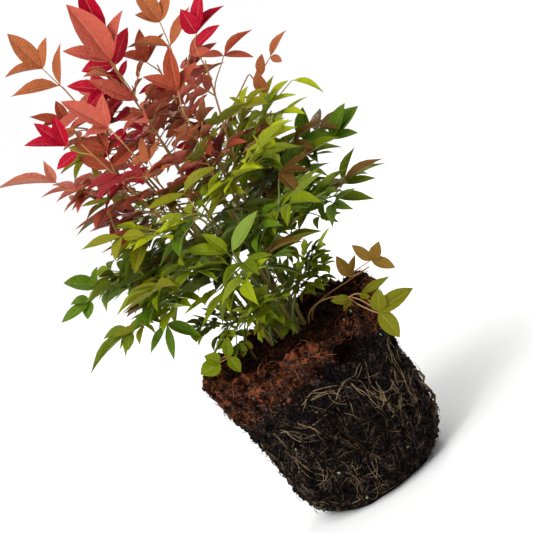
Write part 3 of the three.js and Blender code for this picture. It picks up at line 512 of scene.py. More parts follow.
# %% Table of leading sprays
# mass, tint, share of its stem where the spray starts, then nodes of the spray: its place and the tips
# and widths of the leaflets there
LEADERS = [
    ("crown_peak_left", "copper", 1, [
        ((-39, 8, 410), [((-19, 2, 439), 11), ((-75, 4, 426), 12)]),
        ((-43, 6, 429), [((-53, 2, 467), 16), ((-70, 2, 442), 11), ((-26, 2, 448), 11)]),
    ]),
    ("crown_peak", "coral", 0.8, [
        ((5, -10, 368), [((-23, -20, 404), 15)]),
        ((5, -12, 406), [((5, -14, 461), 23), ((-23, -16, 432), 15), ((32, -16, 435), 15)]),
    ]),
    ("crown_peak", "crimson", 0.85, [
        ((6, 2, 400), [((-18, 0, 411), 17), ((31, 2, 419), 16)]),
        ((10, 6, 418), [((20, 10, 471), 17)]),
    ]),
    ("crown_peak_right", "copper", 0.8, [
        ((50, 10, 387), [((82, 4, 405), 12), ((22, 4, 408), 11)]),
        ((54, 8, 408), [((40, 4, 423), 11), ((53, 6, 443), 15), ((74, 6, 423), 11)]),
    ]),
    ("crown_right", "crimson", 0.85, [
        ((66, -20, 379), [((91, -22, 382), 10)]),
        ((72, -20, 387), [((72, -24, 409), 15), ((96, -20, 415), 12), ((103, -16, 393), 9)]),
    ]),
    ("crown_right", "brick", 0.7, [
        ((80, -24, 361), [((110, -27, 366), 8), ((99, -28, 347), 9), ((66, -28, 371), 9)]),
    ]),
    ("crown_left", "crimson", 0.85, [
        ((-56, -22, 362), [((-77, -24, 359), 11)]),
        ((-61, -20, 371), [((-86, -22, 391), 12), ((-74, -20, 399), 11), ((-54, -22, 396), 11)]),
    ]),
    ("crown_front_left", "coral", 1, [
        ((-25, -50, 368), [((-45, -46, 404), 16), ((-16, -46, 392), 12), ((-43, -56, 372), 11)]),
    ]),
    ("crown_front_right", "brick", 1, [
        ((35, -54, 362), [((49, -50, 393), 13), ((60, -56, 372), 11), ((20, -56, 386), 11)]),
    ]),
    ("crown_back_left", "brick", 0.9, [
        ((-52, 44, 381), [((-77, 40, 399), 9), ((-74, 38, 389), 8), ((-50, 44, 399), 9)]),
    ]),
    ("crown_back_right", "brick", 0.9, [
        ((28, 50, 383), [((38, 46, 410), 13), ((14, 46, 401), 12), ((53, 48, 395), 10)]),
    ]),
    ("crown_far_left", "salmon", 1, [
        ((-85, 10, 348), [((-126, 6, 374), 9), ((-83, 4, 370), 8)]),
    ]),
    ("crown_far_right", "copper", 1, [
        ((92, -2, 316), [((96, -8, 334), 12)]),
        ((97, 0, 329), [((107, -2, 343), 9)]),
        ((111, 0, 337), [((133, 0, 349), 8), ((117, -4, 329), 7)]),
    ]),
    ("bronze_left", "bronze", 1, [
        ((-62, 10, 312), [((-74, 6, 333), 15), ((-82, 6, 312), 7)]),
    ]),
    ("lime_right", "lime", 0.9, [
        ((71, -10, 318), [((65, -14, 330), 9), ((82, -12, 330), 9), ((87, -14, 314), 9)]),
        ((91, -8, 308), [((112, -10, 315), 8), ((111, -14, 302), 8)]),
        ((115, -8, 313), [((132, -10, 292), 8)]),
    ]),
    ("lime_front", "moss", 0.85, [
        ((-5, -74, 296), [((-35, -80, 300), 12), ((26, -80, 300), 12)]),
    ]),
    ("lime_front_left", "moss", 1, [
        ((-63, -58, 293), [((-96, -52, 300), 10), ((-78, -66, 283), 11), ((-47, -70, 285), 11)]),
    ]),
    ("skirt_right_high", "green", 1, [
        ((98, 8, 265), [((111, 4, 289), 14), ((120, 2, 256), 12)]),
        ((116, 6, 255), [((141, 2, 273), 16), ((148, 4, 263), 14), ((136, 0, 247), 11)]),
    ]),
    ("skirt_left_high", "green", 1, [
        ((-104, 6, 261), [((-126, 4, 278), 18), ((-97, 0, 276), 10)]),
        ((-116, 6, 255), [((-144, 2, 251), 11), ((-130, 8, 262), 10), ((-125, 0, 244), 10)]),
    ]),
    ("skirt_right_high", "bronze", 0.6, [
        ((87, -10, 272), [((99, -18, 259), 9), ((122, -24, 276), 7), ((73, -16, 277), 7)]),
    ]),
    ("skirt_front_right", "bronze", 1, [
        ((64, -66, 267), [((69, -78, 248), 12), ((99, -66, 265), 6), ((87, -72, 254), 6)]),
    ]),
    ("skirt_front", "sage", 0.9, [
        ((1, -88, 241), [((35, -92, 256), 14)]),
    ]),
    ("skirt_front", "leaf", 0.8, [
        ((-3, -84, 242), [((-31, -88, 260), 12), ((-10, -84, 264), 9)]),
    ]),
    ("skirt_front", "deep", 1, [
        ((3, -99, 231), [((9, -138, 221), 11), ((-21, -118, 229), 8), ((27, -119, 225), 9)]),
    ]),
    ("skirt_left_low", "deep", 1, [
        ((-102, -24, 222), [((-147, -26, 215), 8), ((-110, -30, 210), 11), ((-122, -18, 229), 11)]),
    ]),
    ("skirt_left_low", "green", 0.8, [
        ((-74, -34, 212), [((-84, -40, 184), 7), ((-58, -42, 190), 10), ((-98, -32, 198), 8)]),
    ]),
    ("skirt_right_low", "deep", 1, [
        ((90, -20, 220), [((117, -26, 199), 10)]),
        ((103, -17, 223), [((140, -20, 222), 8), ((128, -24, 212), 9), ((127, -12, 242), 8)]),
    ]),
    ("sprig_right_low", "olive", 0.5, [
        ((56, -46, 149), [((42, -50, 157), 8), ((46, -52, 143), 6)]),
        ((65, -52, 149), [((93, -56, 149), 7), ((69, -60, 144), 6)]),
        ((69, -60, 131), [((78, -64, 148), 13), ((101, -62, 133), 14), ((73, -66, 106), 14)]),
    ]),
    ("sprig_right_high", "tan", 0.6, [
        ((66, -16, 158), [((66, -20, 179), 10), ((80, -18, 171), 6)]),
        ((88, -16, 159), [((80, -20, 179), 9), ((102, -18, 167), 10), ((101, -20, 144), 10)]),
    ]),
    ("sprig_left", "leaf", 0.6, [
        ((-49, -24, 160), [((-47, -33, 146), 10), ((-41, -26, 175), 9)]),
        ((-57, -26, 161), [((-75, -28, 160), 15), ((-63, -26, 173), 11)]),
    ]),
]
# from this share of its stem on, a mass leaves its place to its leading sprays
LED_TO = {"crown": 0.74, "sprig": 0}
led = {row[0]: LED_TO.get(masses[row[0]].kind, 1) for row in LEADERS}
print("leading sprays:", len(LEADERS), "in", len(led), "masses")

# %% [markdown]
# A leaflet is only a place, three directions and two sizes at first: its blade comes later. Its outline is
# a bent kite that starts a little off the twig, so that leaflets of one frond may touch at their roots.

# %% Growing the leading sprays
CLEAR_FROM = 0.11
# how far the leaflets of a leading spray face the front
LED_FACING = {"crown": 0.8, "skirt": 0.7, "sprig": 2.5}
LED_FACING_ELSE = 0.45
LED_ROLL = 12


class Leaf:
    def __init__(self, root, heading, over, length, slim, rolled):
        self.root, self.heading, self.length, self.width = root, heading, length, slim * length
        self.over = Quaternion(heading, math.radians(rolled)) @ square_to(over, heading)
        self.side = heading.cross(self.over)

    def corners(self):
        lift = LEAF["fold"] * self.width * self.over
        widest = self.root + LEAF["widest"] * self.length * self.heading + lift
        half = 0.5 * self.width * self.side
        tip = self.root + self.length * (self.heading - LEAF["droop"] * self.over)
        return [self.root, widest + half, tip, widest - half]

    def outline(self):
        root, left, tip, other = self.corners()
        inner = root.lerp(tip, CLEAR_FROM)
        return [inner, left, tip, other], [(0, 1, 2), (0, 2, 3)]


def lead(name, tint, share, nodes):
    """Grows a leading spray: a twig from the mass's stem through the nodes, and leaflets at each."""
    mass = masses[name]
    sky = UP + LED_FACING.get(mass.kind, LED_FACING_ELSE) * outward(-90, 0)
    places = [mass.start.lerp(mass.end, share)] + [Vector(place) for place, _ in nodes]
    last = (places[-1] - places[-2]).normalized()
    aims = [mass.heading] + [(b - a).normalized() for a, b in zip(places, places[2:])] + [last]
    points = []
    for a, b, aim, next_aim in zip(places, places[1:], aims, aims[1:]):
        pull = (b - a).length / 3
        points += bend(a, a + pull * aim, b - pull * next_aim, b, TWIG_POINTS).points[:-1]
    leaves = []
    for place, tips in nodes:
        for tip, width in tips:
            way = Vector(tip) - Vector(place)
            over = square_to(sky, way.normalized())
            heading = (way + LEAF["droop"] * way.length * over).normalized()
            slim, rolled = width / way.length, LED_ROLL * mass.roll()
            leaf = Leaf(Vector(place), heading, over, way.length, slim, rolled)
            room.keep(room.find(*leaf.outline()))
            leaves.append(leaf)
    mass.fronds.append({"path": Path(points + [places[-1]]), "leaves": leaves, "tint": tint})
    for a, b in zip(points[1::2], points[3::2]):
        room.keep(room.find(*rod(a, b, TWIG_ROOM)))


for row in LEADERS:
    lead(*row)
print("leaflets on leading sprays:", sum(len(f["leaves"]) for mass in masses.values() for f in mass.fronds))

# %% [markdown]
# ## Fronds and leaflets
# The solids carry three leaflets on each frond, larger than life. Here they shrink to their own size, a
# frond also gets a lower pair, as on the real leaf, and finer fronds stand between the solid's own. The
# top frond of a mass without leading sprays keeps its full size, so that the plant reaches as far as its
# solids.

# %% Where the fronds stand
TOP_FROND = 0.99
SPIRAL = {"lowest": 0.12, "top opening": 8, "closing": 1.5}
PAIRS = {"opening": 6, "fine turn": 15}
LEAST_OPENING = 30


def frond_places(mass, first_turn):
    """Along the stem, turn about it and opening of each frond, its size and that of its leaflets."""
    layout, count, opening = mass.habit[:3]
    finer = mass.finer
    covered = 1 - SPIRAL["lowest"]
    places, extra = [], []
    for i in range(count):
        if layout == "spiral":
            share = i / (count - 1)
            opened = opening + (SPIRAL["top opening"] - opening) * share ** SPIRAL["closing"]
            turned = first_turn + GOLDEN_ANGLE * i
            along, step = SPIRAL["lowest"] + covered * share, -covered / (count - 1)
        else:
            pair = math.ceil(i / 2)
            opened, turned = opening + PAIRS["opening"] * pair if i else 0, 0 if i % 2 else 180
            along, step = 1 - pair / (0.5 * count), 2 / count
        full = along > TOP_FROND and mass.name not in led
        places.append((along, turned, opened, 1, 1 if full else finer.leaf))
        for k in range(finer.between if i else 0):
            part = (k + 1) / (finer.between + 1)
            sideways = PAIRS["fine turn"] * (-1) ** k * (1 - 2 * (i % 2))
            if layout == "spiral":
                sideways = GOLDEN_ANGLE * (k + 1)
            wide = max(LEAST_OPENING, opened)
            extra.append((along + step * part, turned + sideways, wide, finer.frond, finer.frond_leaf))
    return places + extra


# %% [markdown]
# A frond or leaflet that would leave the reach of its mass, enter the ball or cross another is tried again,
# a little shorter and turned another way, and is skipped after some tries. So no leaf is cut off by a wall
# that nobody sees, and the plant stays as wide as its solids.

# %% One leaflet, one frond
LOWER_PAIR = {"at": 0.42, "size": 0.8}
ROOM_FROM = 0.15
CLEAR_OF_SIDE = 1
CLEAR_OF_TOP = 6


def within(mass, points):
    for point in points:
        part = geometry.intersect_point_line(point, mass.start, mass.end)[1]
        nearest = mass.start.lerp(mass.end, min(1, max(0, part)))
        azimuth, radius = math.atan2(point.y, point.x), math.hypot(point.x, point.y)
        beside = radius < ball_radius(azimuth, min(point.z, RIM - EDGE)) + CLEAR_OF_SIDE
        in_ball = beside and point.z < ground_under(point.x, point.y) + CLEAR_OF_TOP
        if (point - nearest).length > mass.habit.reach or in_ball:
            return False
    return True


def grow_leaf(mass, frond, share, where, size):
    roll = mass.roll
    root = frond.at(share)
    along = frond.slope(share)
    over = square_to(mass.sky, along)
    across = over.cross(along)
    for attempt in range(LEAF["tries"]):
        length = mass.habit.leaf * size * (1 + LEAF["vary"] * roll()) * RETRY**attempt
        angle = where * math.radians(LEAF_TURNS["angle"] + LEAF_TURNS["turn"] * roll())
        pitch = math.radians(LEAF_TURNS["pitch"] * roll() - mass.finer.nod)
        heading = math.cos(pitch) * (math.cos(angle) * along + math.sin(angle) * across)
        heading = (heading + math.sin(pitch) * over).normalized()
        leaf = Leaf(root, heading, over, length, mass.finer.slim, LEAF_TURNS["roll"] * roll())
        found = room.find(*leaf.outline())
        if within(mass, leaf.corners()[1:]) and room.free(found):
            room.keep(found)
            return leaf
    return None


def grow_frond(mass, place):
    along, turned, opened, size, leaf_size = place
    roll = mass.roll
    root = mass.start.lerp(mass.end, along)
    full = mass.habit.frond * size * (FROND["lowest"] + (FROND["highest"] - FROND["lowest"]) * along)
    for attempt in range(FROND["tries"]):
        length = full * (1 + FROND["vary"] * roll()) * RETRY**attempt
        opening = math.radians(opened + FROND["sway"] * roll())
        side = Quaternion(mass.heading, math.radians(turned + mass.wander * roll())) @ mass.side
        heading = math.sin(opening) * side + math.cos(opening) * mass.heading
        end = root + length * (heading - mass.finer.sag * UP)
        middle = root + FROND["bend"] * length * heading
        frond = bend(root, root.lerp(middle, 2 / 3), end.lerp(middle, 2 / 3), end, TWIG_POINTS)
        twig = room.find(*rod(frond.at(ROOM_FROM), end, TWIG_ROOM))
        if not within(mass, [end]) or not room.free(twig, mass.name):
            continue
        plan = [(1, 0, 1), (1, 1, FROND["side"]), (1, -1, FROND["side"])]
        if mass.kind != "sprig":
            plan += [(LOWER_PAIR["at"], side, LOWER_PAIR["size"]) for side in (1, -1)]
        leaves = [grow_leaf(mass, frond, share, where, leaf_size * part) for share, where, part in plan]
        leaves = [leaf for leaf in leaves if leaf]
        if len(leaves) > 1:
            mass.fronds.append({"path": frond, "leaves": leaves, "tint": None})
            room.keep(twig)
            return


# %% [markdown]
# A throw for each frond settles which ones stand. Low in the crown fewer do, because the canes are almost
# bare there. Then the masses take turns, a frond at a time, so that none fills the room of its neighbours.

# %% Growing in turns
BARE_BELOW = 0.35
BARE_SHARE = 0.45
plans = {}
for name, mass in masses.items():
    places = frond_places(mass, 180 + 180 * mass.roll())
    standing = OPEN_MASSES.get(name, mass.finer.standing)
    chosen = []
    for place in places:
        share = standing * (BARE_SHARE if mass.kind == "crown" and place[0] < BARE_BELOW else 1)
        ends = place[0] > TOP_FROND and name not in led
        if place[0] <= led.get(name, 1) and (mass.roll() < 2 * share - 1 or ends):
            chosen.append(place)
    plans[name] = chosen
for turn in range(max(map(len, plans.values()))):
    for name, places in plans.items():
        if turn < len(places):
            grow_frond(masses[name], places[turn])
fronds = [(mass, frond) for mass in masses.values() for frond in mass.fronds]
print("fronds:", len(fronds), "leaflets:", sum(len(frond["leaves"]) for _, frond in fronds))

# %% [markdown]
# ## Node trees
# Most of the plant is one small shape many times over, which is what Geometry Nodes are for. Trees could be
# drawn by hand in the node editor, but a few helpers write them down as short lines: one adds a node with
# its settings and feeds, one opens a tree with named inputs, and one closes it with real copies and their
# material. A last one runs a tree on an object and leaves a plain mesh.

# %% Helpers for node trees
def add(tree, kind, feeds=None, **settings):
    node = tree.nodes.new(kind)
    for name, value in settings.items():
        setattr(node, name, value)
    for socket, value in (feeds or {}).items():
        if isinstance(value, bpy.types.NodeSocket):
            tree.links.new(value, node.inputs[socket])
        else:
            node.inputs[socket].default_value = value
    return node


def open_tree(name, inputs):
    tree = bpy.data.node_groups.new(name, "GeometryNodeTree")
    tree.interface.new_socket("Geometry", in_out="OUTPUT", socket_type="NodeSocketGeometry")
    tree.interface.new_socket("Geometry", in_out="INPUT", socket_type="NodeSocketGeometry")
    for label, kind in inputs.items():
        tree.interface.new_socket(label, in_out="INPUT", socket_type=f"NodeSocket{kind}")
    return tree, tree.nodes.new("NodeGroupInput").outputs


def close_tree(tree, made, material, marked=()):
    """Ends in real copies with their material, and with others on the faces that are marked."""
    made = add(tree, "GeometryNodeRealizeInstances", {"Geometry": made}).outputs[0]
    for skin, faces in [(material, True), *marked]:
        feeds = {"Geometry": made, "Selection": faces, "Material": skin}
        made = add(tree, "GeometryNodeSetMaterial", feeds).outputs[0]
    tree.links.new(made, tree.nodes.new("NodeGroupOutput").inputs["Geometry"])


def settle(thing, tree, values):
    """Runs the tree on the object, leaves its result as a plain mesh, and removes the modifier."""
    modifier = thing.modifiers.new(tree.name, "NODES")
    modifier.node_group = tree
    for item in tree.interface.items_tree:
        if item.in_out == "INPUT" and item.name in values:
            modifier[item.identifier] = values[item.name]
    evaluated = thing.evaluated_get(bpy.context.evaluated_depsgraph_get())
    mesh = bpy.data.meshes.new_from_object(evaluated)
    thing.modifiers.clear()
    thing.data = mesh
    return thing


def write_layer(thing, name, kind, values, domain="POINT"):
    """Keeps a value, or a vector, with each point or face."""
    key = "vector" if kind == "FLOAT_VECTOR" else "value"
    thing.data.attributes.new(name, kind, domain).data.foreach_set(key, values)


def read_layer(tree, name, kind="FLOAT"):
    return add(tree, "GeometryNodeInputNamedAttribute", {"Name": name}, data_type=kind).outputs["Attribute"]


def calc(tree, operation, *values):
    return add(tree, "ShaderNodeMath", dict(enumerate(values)), operation=operation).outputs[0]


def count_triangles(thing):
    print(thing.name, "triangles:", sum(len(face.vertices) - 2 for face in thing.data.polygons))


# %% [markdown]
# A flat colour looks like plastic, and a picture would repeat. Every skin here gets a bump from some noise,
# and the same noise makes its roughness go up and down. The noise is read on Object coordinates, which stay
# with the piece.

# %% Helpers for skins
# most of a noise lies between these
MIDDLE_HEIGHTS = (0.3, 0.7)


def on_object(tree):
    return add(tree, "ShaderNodeTexCoord").outputs["Object"]


def noise(tree, place, scale, detail, roughness=0.5):
    feeds = {"Vector": place, "Scale": scale, "Detail": detail, "Roughness": roughness}
    return add(tree, "ShaderNodeTexNoise", feeds).outputs["Fac"]


def stretched(tree, value, low, high, least=0, most=1):
    return add(tree, "ShaderNodeMapRange", {0: value, 1: low, 2: high, 3: least, 4: most}).outputs[0]


def blended(tree, share, *colours):
    """A mix of two colours, each a socket or its red, green and blue."""
    first, second = ((*colour, 1) if isinstance(colour, tuple) else colour for colour in colours)
    return add(tree, "ShaderNodeMix", {0: share, 6: first, 7: second}, data_type="RGBA").outputs[2]


def painted_layer(tree, name, output="Fac"):
    return add(tree, "ShaderNodeAttribute", attribute_name=name).outputs[output]


def weather(material, height, strength, distance, smoothest, roughest):
    """Gives the skin a bump, and a roughness that goes up and down with the same height."""
    tree = material.node_tree
    shader = tree.nodes["Principled BSDF"]
    bump = add(tree, "ShaderNodeBump", {"Strength": strength, "Distance": distance, "Height": height})
    tree.links.new(bump.outputs["Normal"], shader.inputs["Normal"])
    gloss = stretched(tree, height, *MIDDLE_HEIGHTS, smoothest, roughest)
    tree.links.new(gloss, shader.inputs["Roughness"])


# %% [markdown]
# ## One leaflet
# A leaflet is a thin closed lens: two halves that rise from a sunken midrib, arched across, curved along
# and pointed. It could be a flat cut-out with a picture, but then it has no edge and no underside. Four
# forms differ in fold, curl and twist. Each comes in a full outline and in one with a drawn-out tip,
# which the slim leaflets get. Three marks tell the blade, its rib and its underside apart.

# %% Leaflet forms
# share of the length, and of the width there
STATIONS = [
    (0, 0.03), (0.06, 0.32), (0.18, 0.76), (0.34, 0.98), (0.5, 1), (0.67, 0.86), (0.83, 0.53), (0.94, 0.2),
]
RIB = 0.07
ACROSS = [-1, -0.55, -RIB, RIB, 0.55, 1]
ARCH = 0.07
THICK = 0.01
RIB_SUNK = 0.4 * THICK
FORM_WIDTH = 0.4
MARKS = {"Blade": 0, "Rib": 1, "Underside": 2}
# fold, droop, sideways bend and twist in degrees, for a leaflet of length and width 1
FORMS = [(0.22, 0.06, 0.02, 6), (0.4, 0.14, -0.06, -10), (0.14, 0.02, 0.05, 5), (0.3, 0.2, 0.03, 14)]
FULL = 1
DRAWN_OUT = 1.7
SLIM_LEAF = 0.35


def leaflet(name, fold, droop, sway, twist, point):
    """Length 1 along Y and its width along X."""
    points, faces, marks, blades = [], [], [], []
    rows_of_marks = [MARKS["Rib" if left == -RIB else "Blade"] for left in ACROSS[:-1]]

    def place(along, across, lift):
        turn = math.radians(twist) * along
        x, z = across * FORM_WIDTH, lift
        x, z = x * math.cos(turn) - z * math.sin(turn), x * math.sin(turn) + z * math.cos(turn)
        points.append((x + sway * along**2, along, z - droop * along**2 * (0.4 + 0.6 * along)))
        blades.append((across, along, 0))
        return len(points) - 1

    tops, bottoms = [], []
    for along, half in STATIONS:
        edge = 0.5 * half**point
        row = []
        for u in ACROSS:
            lift = FORM_WIDTH * edge * (fold * 2 * abs(u) + ARCH * 4 * abs(u) * (1 - abs(u)))
            row.append(place(along, u * edge, lift - (RIB_SUNK if abs(u) == RIB else 0)))
        tops.append(row)
        bottoms.append(place(along, 0, -THICK))
    tip = place(1, 0, 0)
    for i in range(len(tops) - 1):
        for k in range(len(ACROSS) - 1):
            faces.append((tops[i][k], tops[i][k + 1], tops[i + 1][k + 1], tops[i + 1][k]))
        faces.append((tops[i][0], tops[i + 1][0], bottoms[i + 1], bottoms[i]))
        faces.append((tops[i][-1], bottoms[i], bottoms[i + 1], tops[i + 1][-1]))
        marks += rows_of_marks + 2 * [MARKS["Underside"]]
    faces += [(tops[-1][k], tops[-1][k + 1], tip) for k in range(len(ACROSS) - 1)]
    faces += [(tops[-1][0], tip, bottoms[-1]), (tops[-1][-1], bottoms[-1], tip)]
    faces.append((*reversed(tops[0]), bottoms[0]))
    marks += rows_of_marks + 3 * [MARKS["Underside"]]
    form = plain_mesh(name, points, faces)
    write_layer(form, "part", "INT", marks, "FACE")
    write_layer(form, "blade", "FLOAT_VECTOR", np.ravel(blades))
    form.data.polygons.foreach_set("use_smooth", [True] * len(faces))
    marks_at = {}
    for face, mark in zip(form.data.polygons, marks):
        for key in face.edge_keys:
            marks_at.setdefault(key, set()).add(mark)
    for edge in form.data.edges:
        edge.use_edge_sharp = len(marks_at[edge.key]) > 1
    return form


forms = []
for point in (FULL, DRAWN_OUT):
    forms += [leaflet(f"leaflet_{i}_{point}", *form, point) for i, form in enumerate(FORMS)]
print("faces in a leaflet:", len(forms[0].data.polygons))

# %% [markdown]
# ## Leaf colours
# The new leaves at the top are red, and they turn green as they age and as they stand deeper in the shade.
# A painted gradient would look smooth and false. A real plant changes colour from spray to spray, so each
# spray draws one plain tint, and only the blade, its rib and its paler underside differ on a leaflet.
# Fine side veins and the waxy unevenness of the skin are bumps, and the gloss is a thin coat.

# %% Tints
TINTS = {
    "crimson": (0.44, 0.004, 0.024),
    "coral": (0.5, 0.1, 0.062),
    "salmon": (0.56, 0.175, 0.105),
    "copper": (0.44, 0.13, 0.045),
    "brick": (0.36, 0.065, 0.028),
    "dusky": (0.26, 0.05, 0.03),
    "burgundy": (0.17, 0.008, 0.014),
    "bronze": (0.15, 0.067, 0.011),
    "tan": (0.3, 0.165, 0.024),
    "olive": (0.17, 0.165, 0.004),
    "moss": (0.21, 0.205, 0.005),
    "lime": (0.385, 0.435, 0.007),
    "fresh": (0.28, 0.34, 0.006),
    "leaf": (0.18, 0.23, 0.004),
    "green": (0.1, 0.178, 0.007),
    "deep": (0.122, 0.162, 0.004),
    "shade": (0.062, 0.084, 0.003),
    "sage": (0.18, 0.26, 0.034),
}
RED_TINTS = ("crimson", "coral", "salmon", "copper", "brick", "dusky", "burgundy")
PALE_RED = (0.62, 0.3, 0.24)
PALE_GREEN = (0.42, 0.5, 0.15)
print("leaf tints:", len(TINTS))

# %% [markdown]
# The veins run slantwise from the rib, so they are drawn on the leaflet's own two measures, across and
# along, as a sine whose waves lean forwards. A picture of a leaf would give finer veins, but the same ones
# on every leaf.

# %% Leaf skins
VEIN_SLANT = -0.7
VEINS = 62
VEIN_HEIGHT = 0.04
# roughness, weight of the gloss, and how much paler than the tint
LEAF_SKINS = {"Blade": (0.42, 0.03, 0), "Rib": (0.5, 0.02, 0.2), "Underside": (0.6, 0, 0.14)}


def leaf_skin(name, colour, roughness, coat):
    material, shader = paint(name, colour, roughness, shine=0.1)
    tree = material.node_tree
    shader.inputs["Coat Weight"].default_value = coat
    shader.inputs["Coat Roughness"].default_value = 0.25
    blade = add(tree, "ShaderNodeSeparateXYZ", {0: painted_layer(tree, "blade", "Vector")}).outputs
    slant = calc(tree, "MULTIPLY_ADD", calc(tree, "ABSOLUTE", blade["X"]), VEIN_SLANT, blade["Y"])
    veins = calc(tree, "SINE", calc(tree, "MULTIPLY", slant, VEINS))
    wax = noise(tree, on_object(tree), scale=190, detail=4, roughness=0.6)
    height = calc(tree, "MULTIPLY_ADD", veins, VEIN_HEIGHT, wax)
    sway = 0.12
    weather(material, height, 0.8, 0.003, smoothest=roughness - sway, roughest=roughness + sway)
    return material


def mixed(colour, other, share):
    return tuple(a + (b - a) * share for a, b in zip(colour, other))


skins = {}
for tint, colour in TINTS.items():
    pale = PALE_RED if tint in RED_TINTS else PALE_GREEN
    skins[tint] = {}
    for part, (roughness, coat, paler) in LEAF_SKINS.items():
        name = f"tint_{tint}" if part == "Blade" else f"tint_{tint}_{part.lower()}"
        skins[tint][part] = leaf_skin(name, mixed(colour, pale, paler), roughness, coat)
print("leaf skins:", sum(map(len, skins.values())))

# %% [markdown]
# Which tints a spray draws from depends on where its tip is. The palettes turn from red over bronze and
# lime to green downwards, and at the sides they do so higher up.

# %% Palettes
PALETTES = {
    "crown": "coral copper brick crimson copper salmon brick crimson olive dusky",
    "inner crown": "brick copper coral burgundy olive crimson brick copper burgundy",
    "crown foot": "bronze fresh brick lime olive bronze dusky fresh",
    "lime": "moss lime fresh moss olive leaf lime moss",
    "lime side": "lime fresh lime leaf lime copper moss",
    "bronze": "moss bronze olive leaf olive fresh dusky",
    "bronze side": "bronze brick dusky olive",
    "skirt": "leaf deep green bronze olive fresh leaf shade green sage leaf",
    "thicket": "leaf deep fresh leaf olive fresh",
    "sprig": "olive",
}
INNER_BELOW = 322
FOOT_BELOW = 298
LIME_ABOVE = 276
SIDES_FROM = 50


def palette_for(kind, end):
    if kind == "crown" and end.z < INNER_BELOW:
        kind = "inner crown" if end.z > FOOT_BELOW else "crown foot"
        if abs(end.x) > SIDES_FROM:
            kind = "lime side" if end.x > 0 else "bronze side"
    elif kind == "lime" and end.z < LIME_ABOVE:
        kind = "skirt"
    elif kind == "lime" and end.x > SIDES_FROM:
        kind = "lime side"
    elif kind == "bronze" and end.x < -SIDES_FROM:
        kind = "bronze side"
    return PALETTES[kind].split()


# %% [markdown]
# ## Dealing out the leaflets
# Every leaflet is a point that carries its turn, its size and its form. A tree puts the right form on each
# point, makes the copies real and gives the faces their three materials by their marks.

# %% The foliage tree
foliage_inputs = {f"Form {i}": "Object" for i in range(len(forms))} | dict.fromkeys(MARKS, "Material")
foliage_tree, given = open_tree("foliage", foliage_inputs)
kinds = add(foliage_tree, "GeometryNodeJoinGeometry")
for i in reversed(range(len(forms))):
    form = add(foliage_tree, "GeometryNodeObjectInfo", {"Object": given[f"Form {i}"], "As Instance": True})
    foliage_tree.links.new(form.outputs["Geometry"], kinds.inputs["Geometry"])
turns = read_layer(foliage_tree, "turn", "FLOAT_VECTOR")
turn = add(foliage_tree, "FunctionNodeEulerToRotation", {0: turns})
copies = add(
    foliage_tree,
    "GeometryNodeInstanceOnPoints",
    {
        "Points": given["Geometry"],
        "Instance": kinds.outputs["Geometry"],
        "Pick Instance": True,
        "Instance Index": read_layer(foliage_tree, "form", "INT"),
        "Rotation": turn.outputs["Rotation"],
        "Scale": read_layer(foliage_tree, "size", "FLOAT_VECTOR"),
    },
)
marked = []
for part in ("Rib", "Underside"):
    feeds = {2: read_layer(foliage_tree, "part", "INT"), 3: MARKS[part]}
    same = add(foliage_tree, "FunctionNodeCompare", feeds, data_type="INT", operation="EQUAL")
    marked.append((given[part], same.outputs[0]))
close_tree(foliage_tree, copies.outputs["Instances"], given["Blade"], marked)
print("foliage tree nodes:", len(foliage_tree.nodes))

# %% [markdown]
# The sprays of one tint are sown together, and the tints of a group are then joined to one piece. A piece
# for every spray would be easier to pick, but hundreds of pieces are a burden to whoever uses the plant.

# %% Leaflets by group
def joined(name, things):
    """One object from several, with every material kept."""
    bpy.ops.object.select_all(action="DESELECT")
    for other in things:
        other.select_set(True)
    bpy.context.view_layer.objects.active = things[0]
    bpy.ops.object.join()
    things[0].select_set(False)
    things[0].name = things[0].data.name = name
    count_triangles(things[0])
    return things[0]


def sown(name, leaves, skin):
    """The leaflets of one tint as one mesh."""
    seeds = shown(plain_mesh(name, [leaf.root * MM for leaf in leaves], []))
    turns, sizes, picks = [], [], []
    for i, leaf in enumerate(leaves):
        turns += Matrix((leaf.side, leaf.heading, leaf.over)).transposed().to_euler()
        sizes += [leaf.width / FORM_WIDTH * MM, leaf.length * MM, leaf.length * MM]
        drawn_out = leaf.width < SLIM_LEAF * leaf.length
        picks.append(i * 7 % len(FORMS) + (len(FORMS) if drawn_out else 0))
    write_layer(seeds, "turn", "FLOAT_VECTOR", turns)
    write_layer(seeds, "size", "FLOAT_VECTOR", sizes)
    write_layer(seeds, "form", "INT", picks)
    return settle(seeds, foliage_tree, {f"Form {i}": form for i, form in enumerate(forms)} | skin)


# the slot and the kinds of mass of each group
GROUPS = {
    "crown": ("leaf_red", ["crown"]),
    "middle": ("leaf_lime", ["lime", "bronze"]),
    "skirt": ("leaf_green", ["skirt"]),
    "thicket": ("leaf_small_green", ["thicket"]),
    "sprigs": ("leaf_olive", ["sprig"]),
}
for group, (slot, kinds_in) in GROUPS.items():
    dealt = {}
    for mass, frond in fronds:
        if mass.kind in kinds_in:
            palette = palette_for(mass.kind, frond["path"].points[-1])
            tint = palette[int((mass.roll() + 1) / 2 * len(palette))]
            dealt.setdefault(frond["tint"] or tint, []).extend(frond["leaves"])
    sprays = [sown(f"{group}_{tint}", leaves, skins[tint]) for tint, leaves in dealt.items()]
    piece = joined(f"leaves_{group}", sprays)
    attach(piece, "root")
    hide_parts(*[f"foliage_{m.name}" for m in masses.values() if m.kind in kinds_in])

# %% [markdown]
# ## Stalks and twigs
# The stalks are thin round rods that taper from the cane to the last leaflet. A curve with a bevel would
# do, but here one tree sweeps them all: each row of linked points becomes a curve, and each point carries
# the radius of the stalk there.

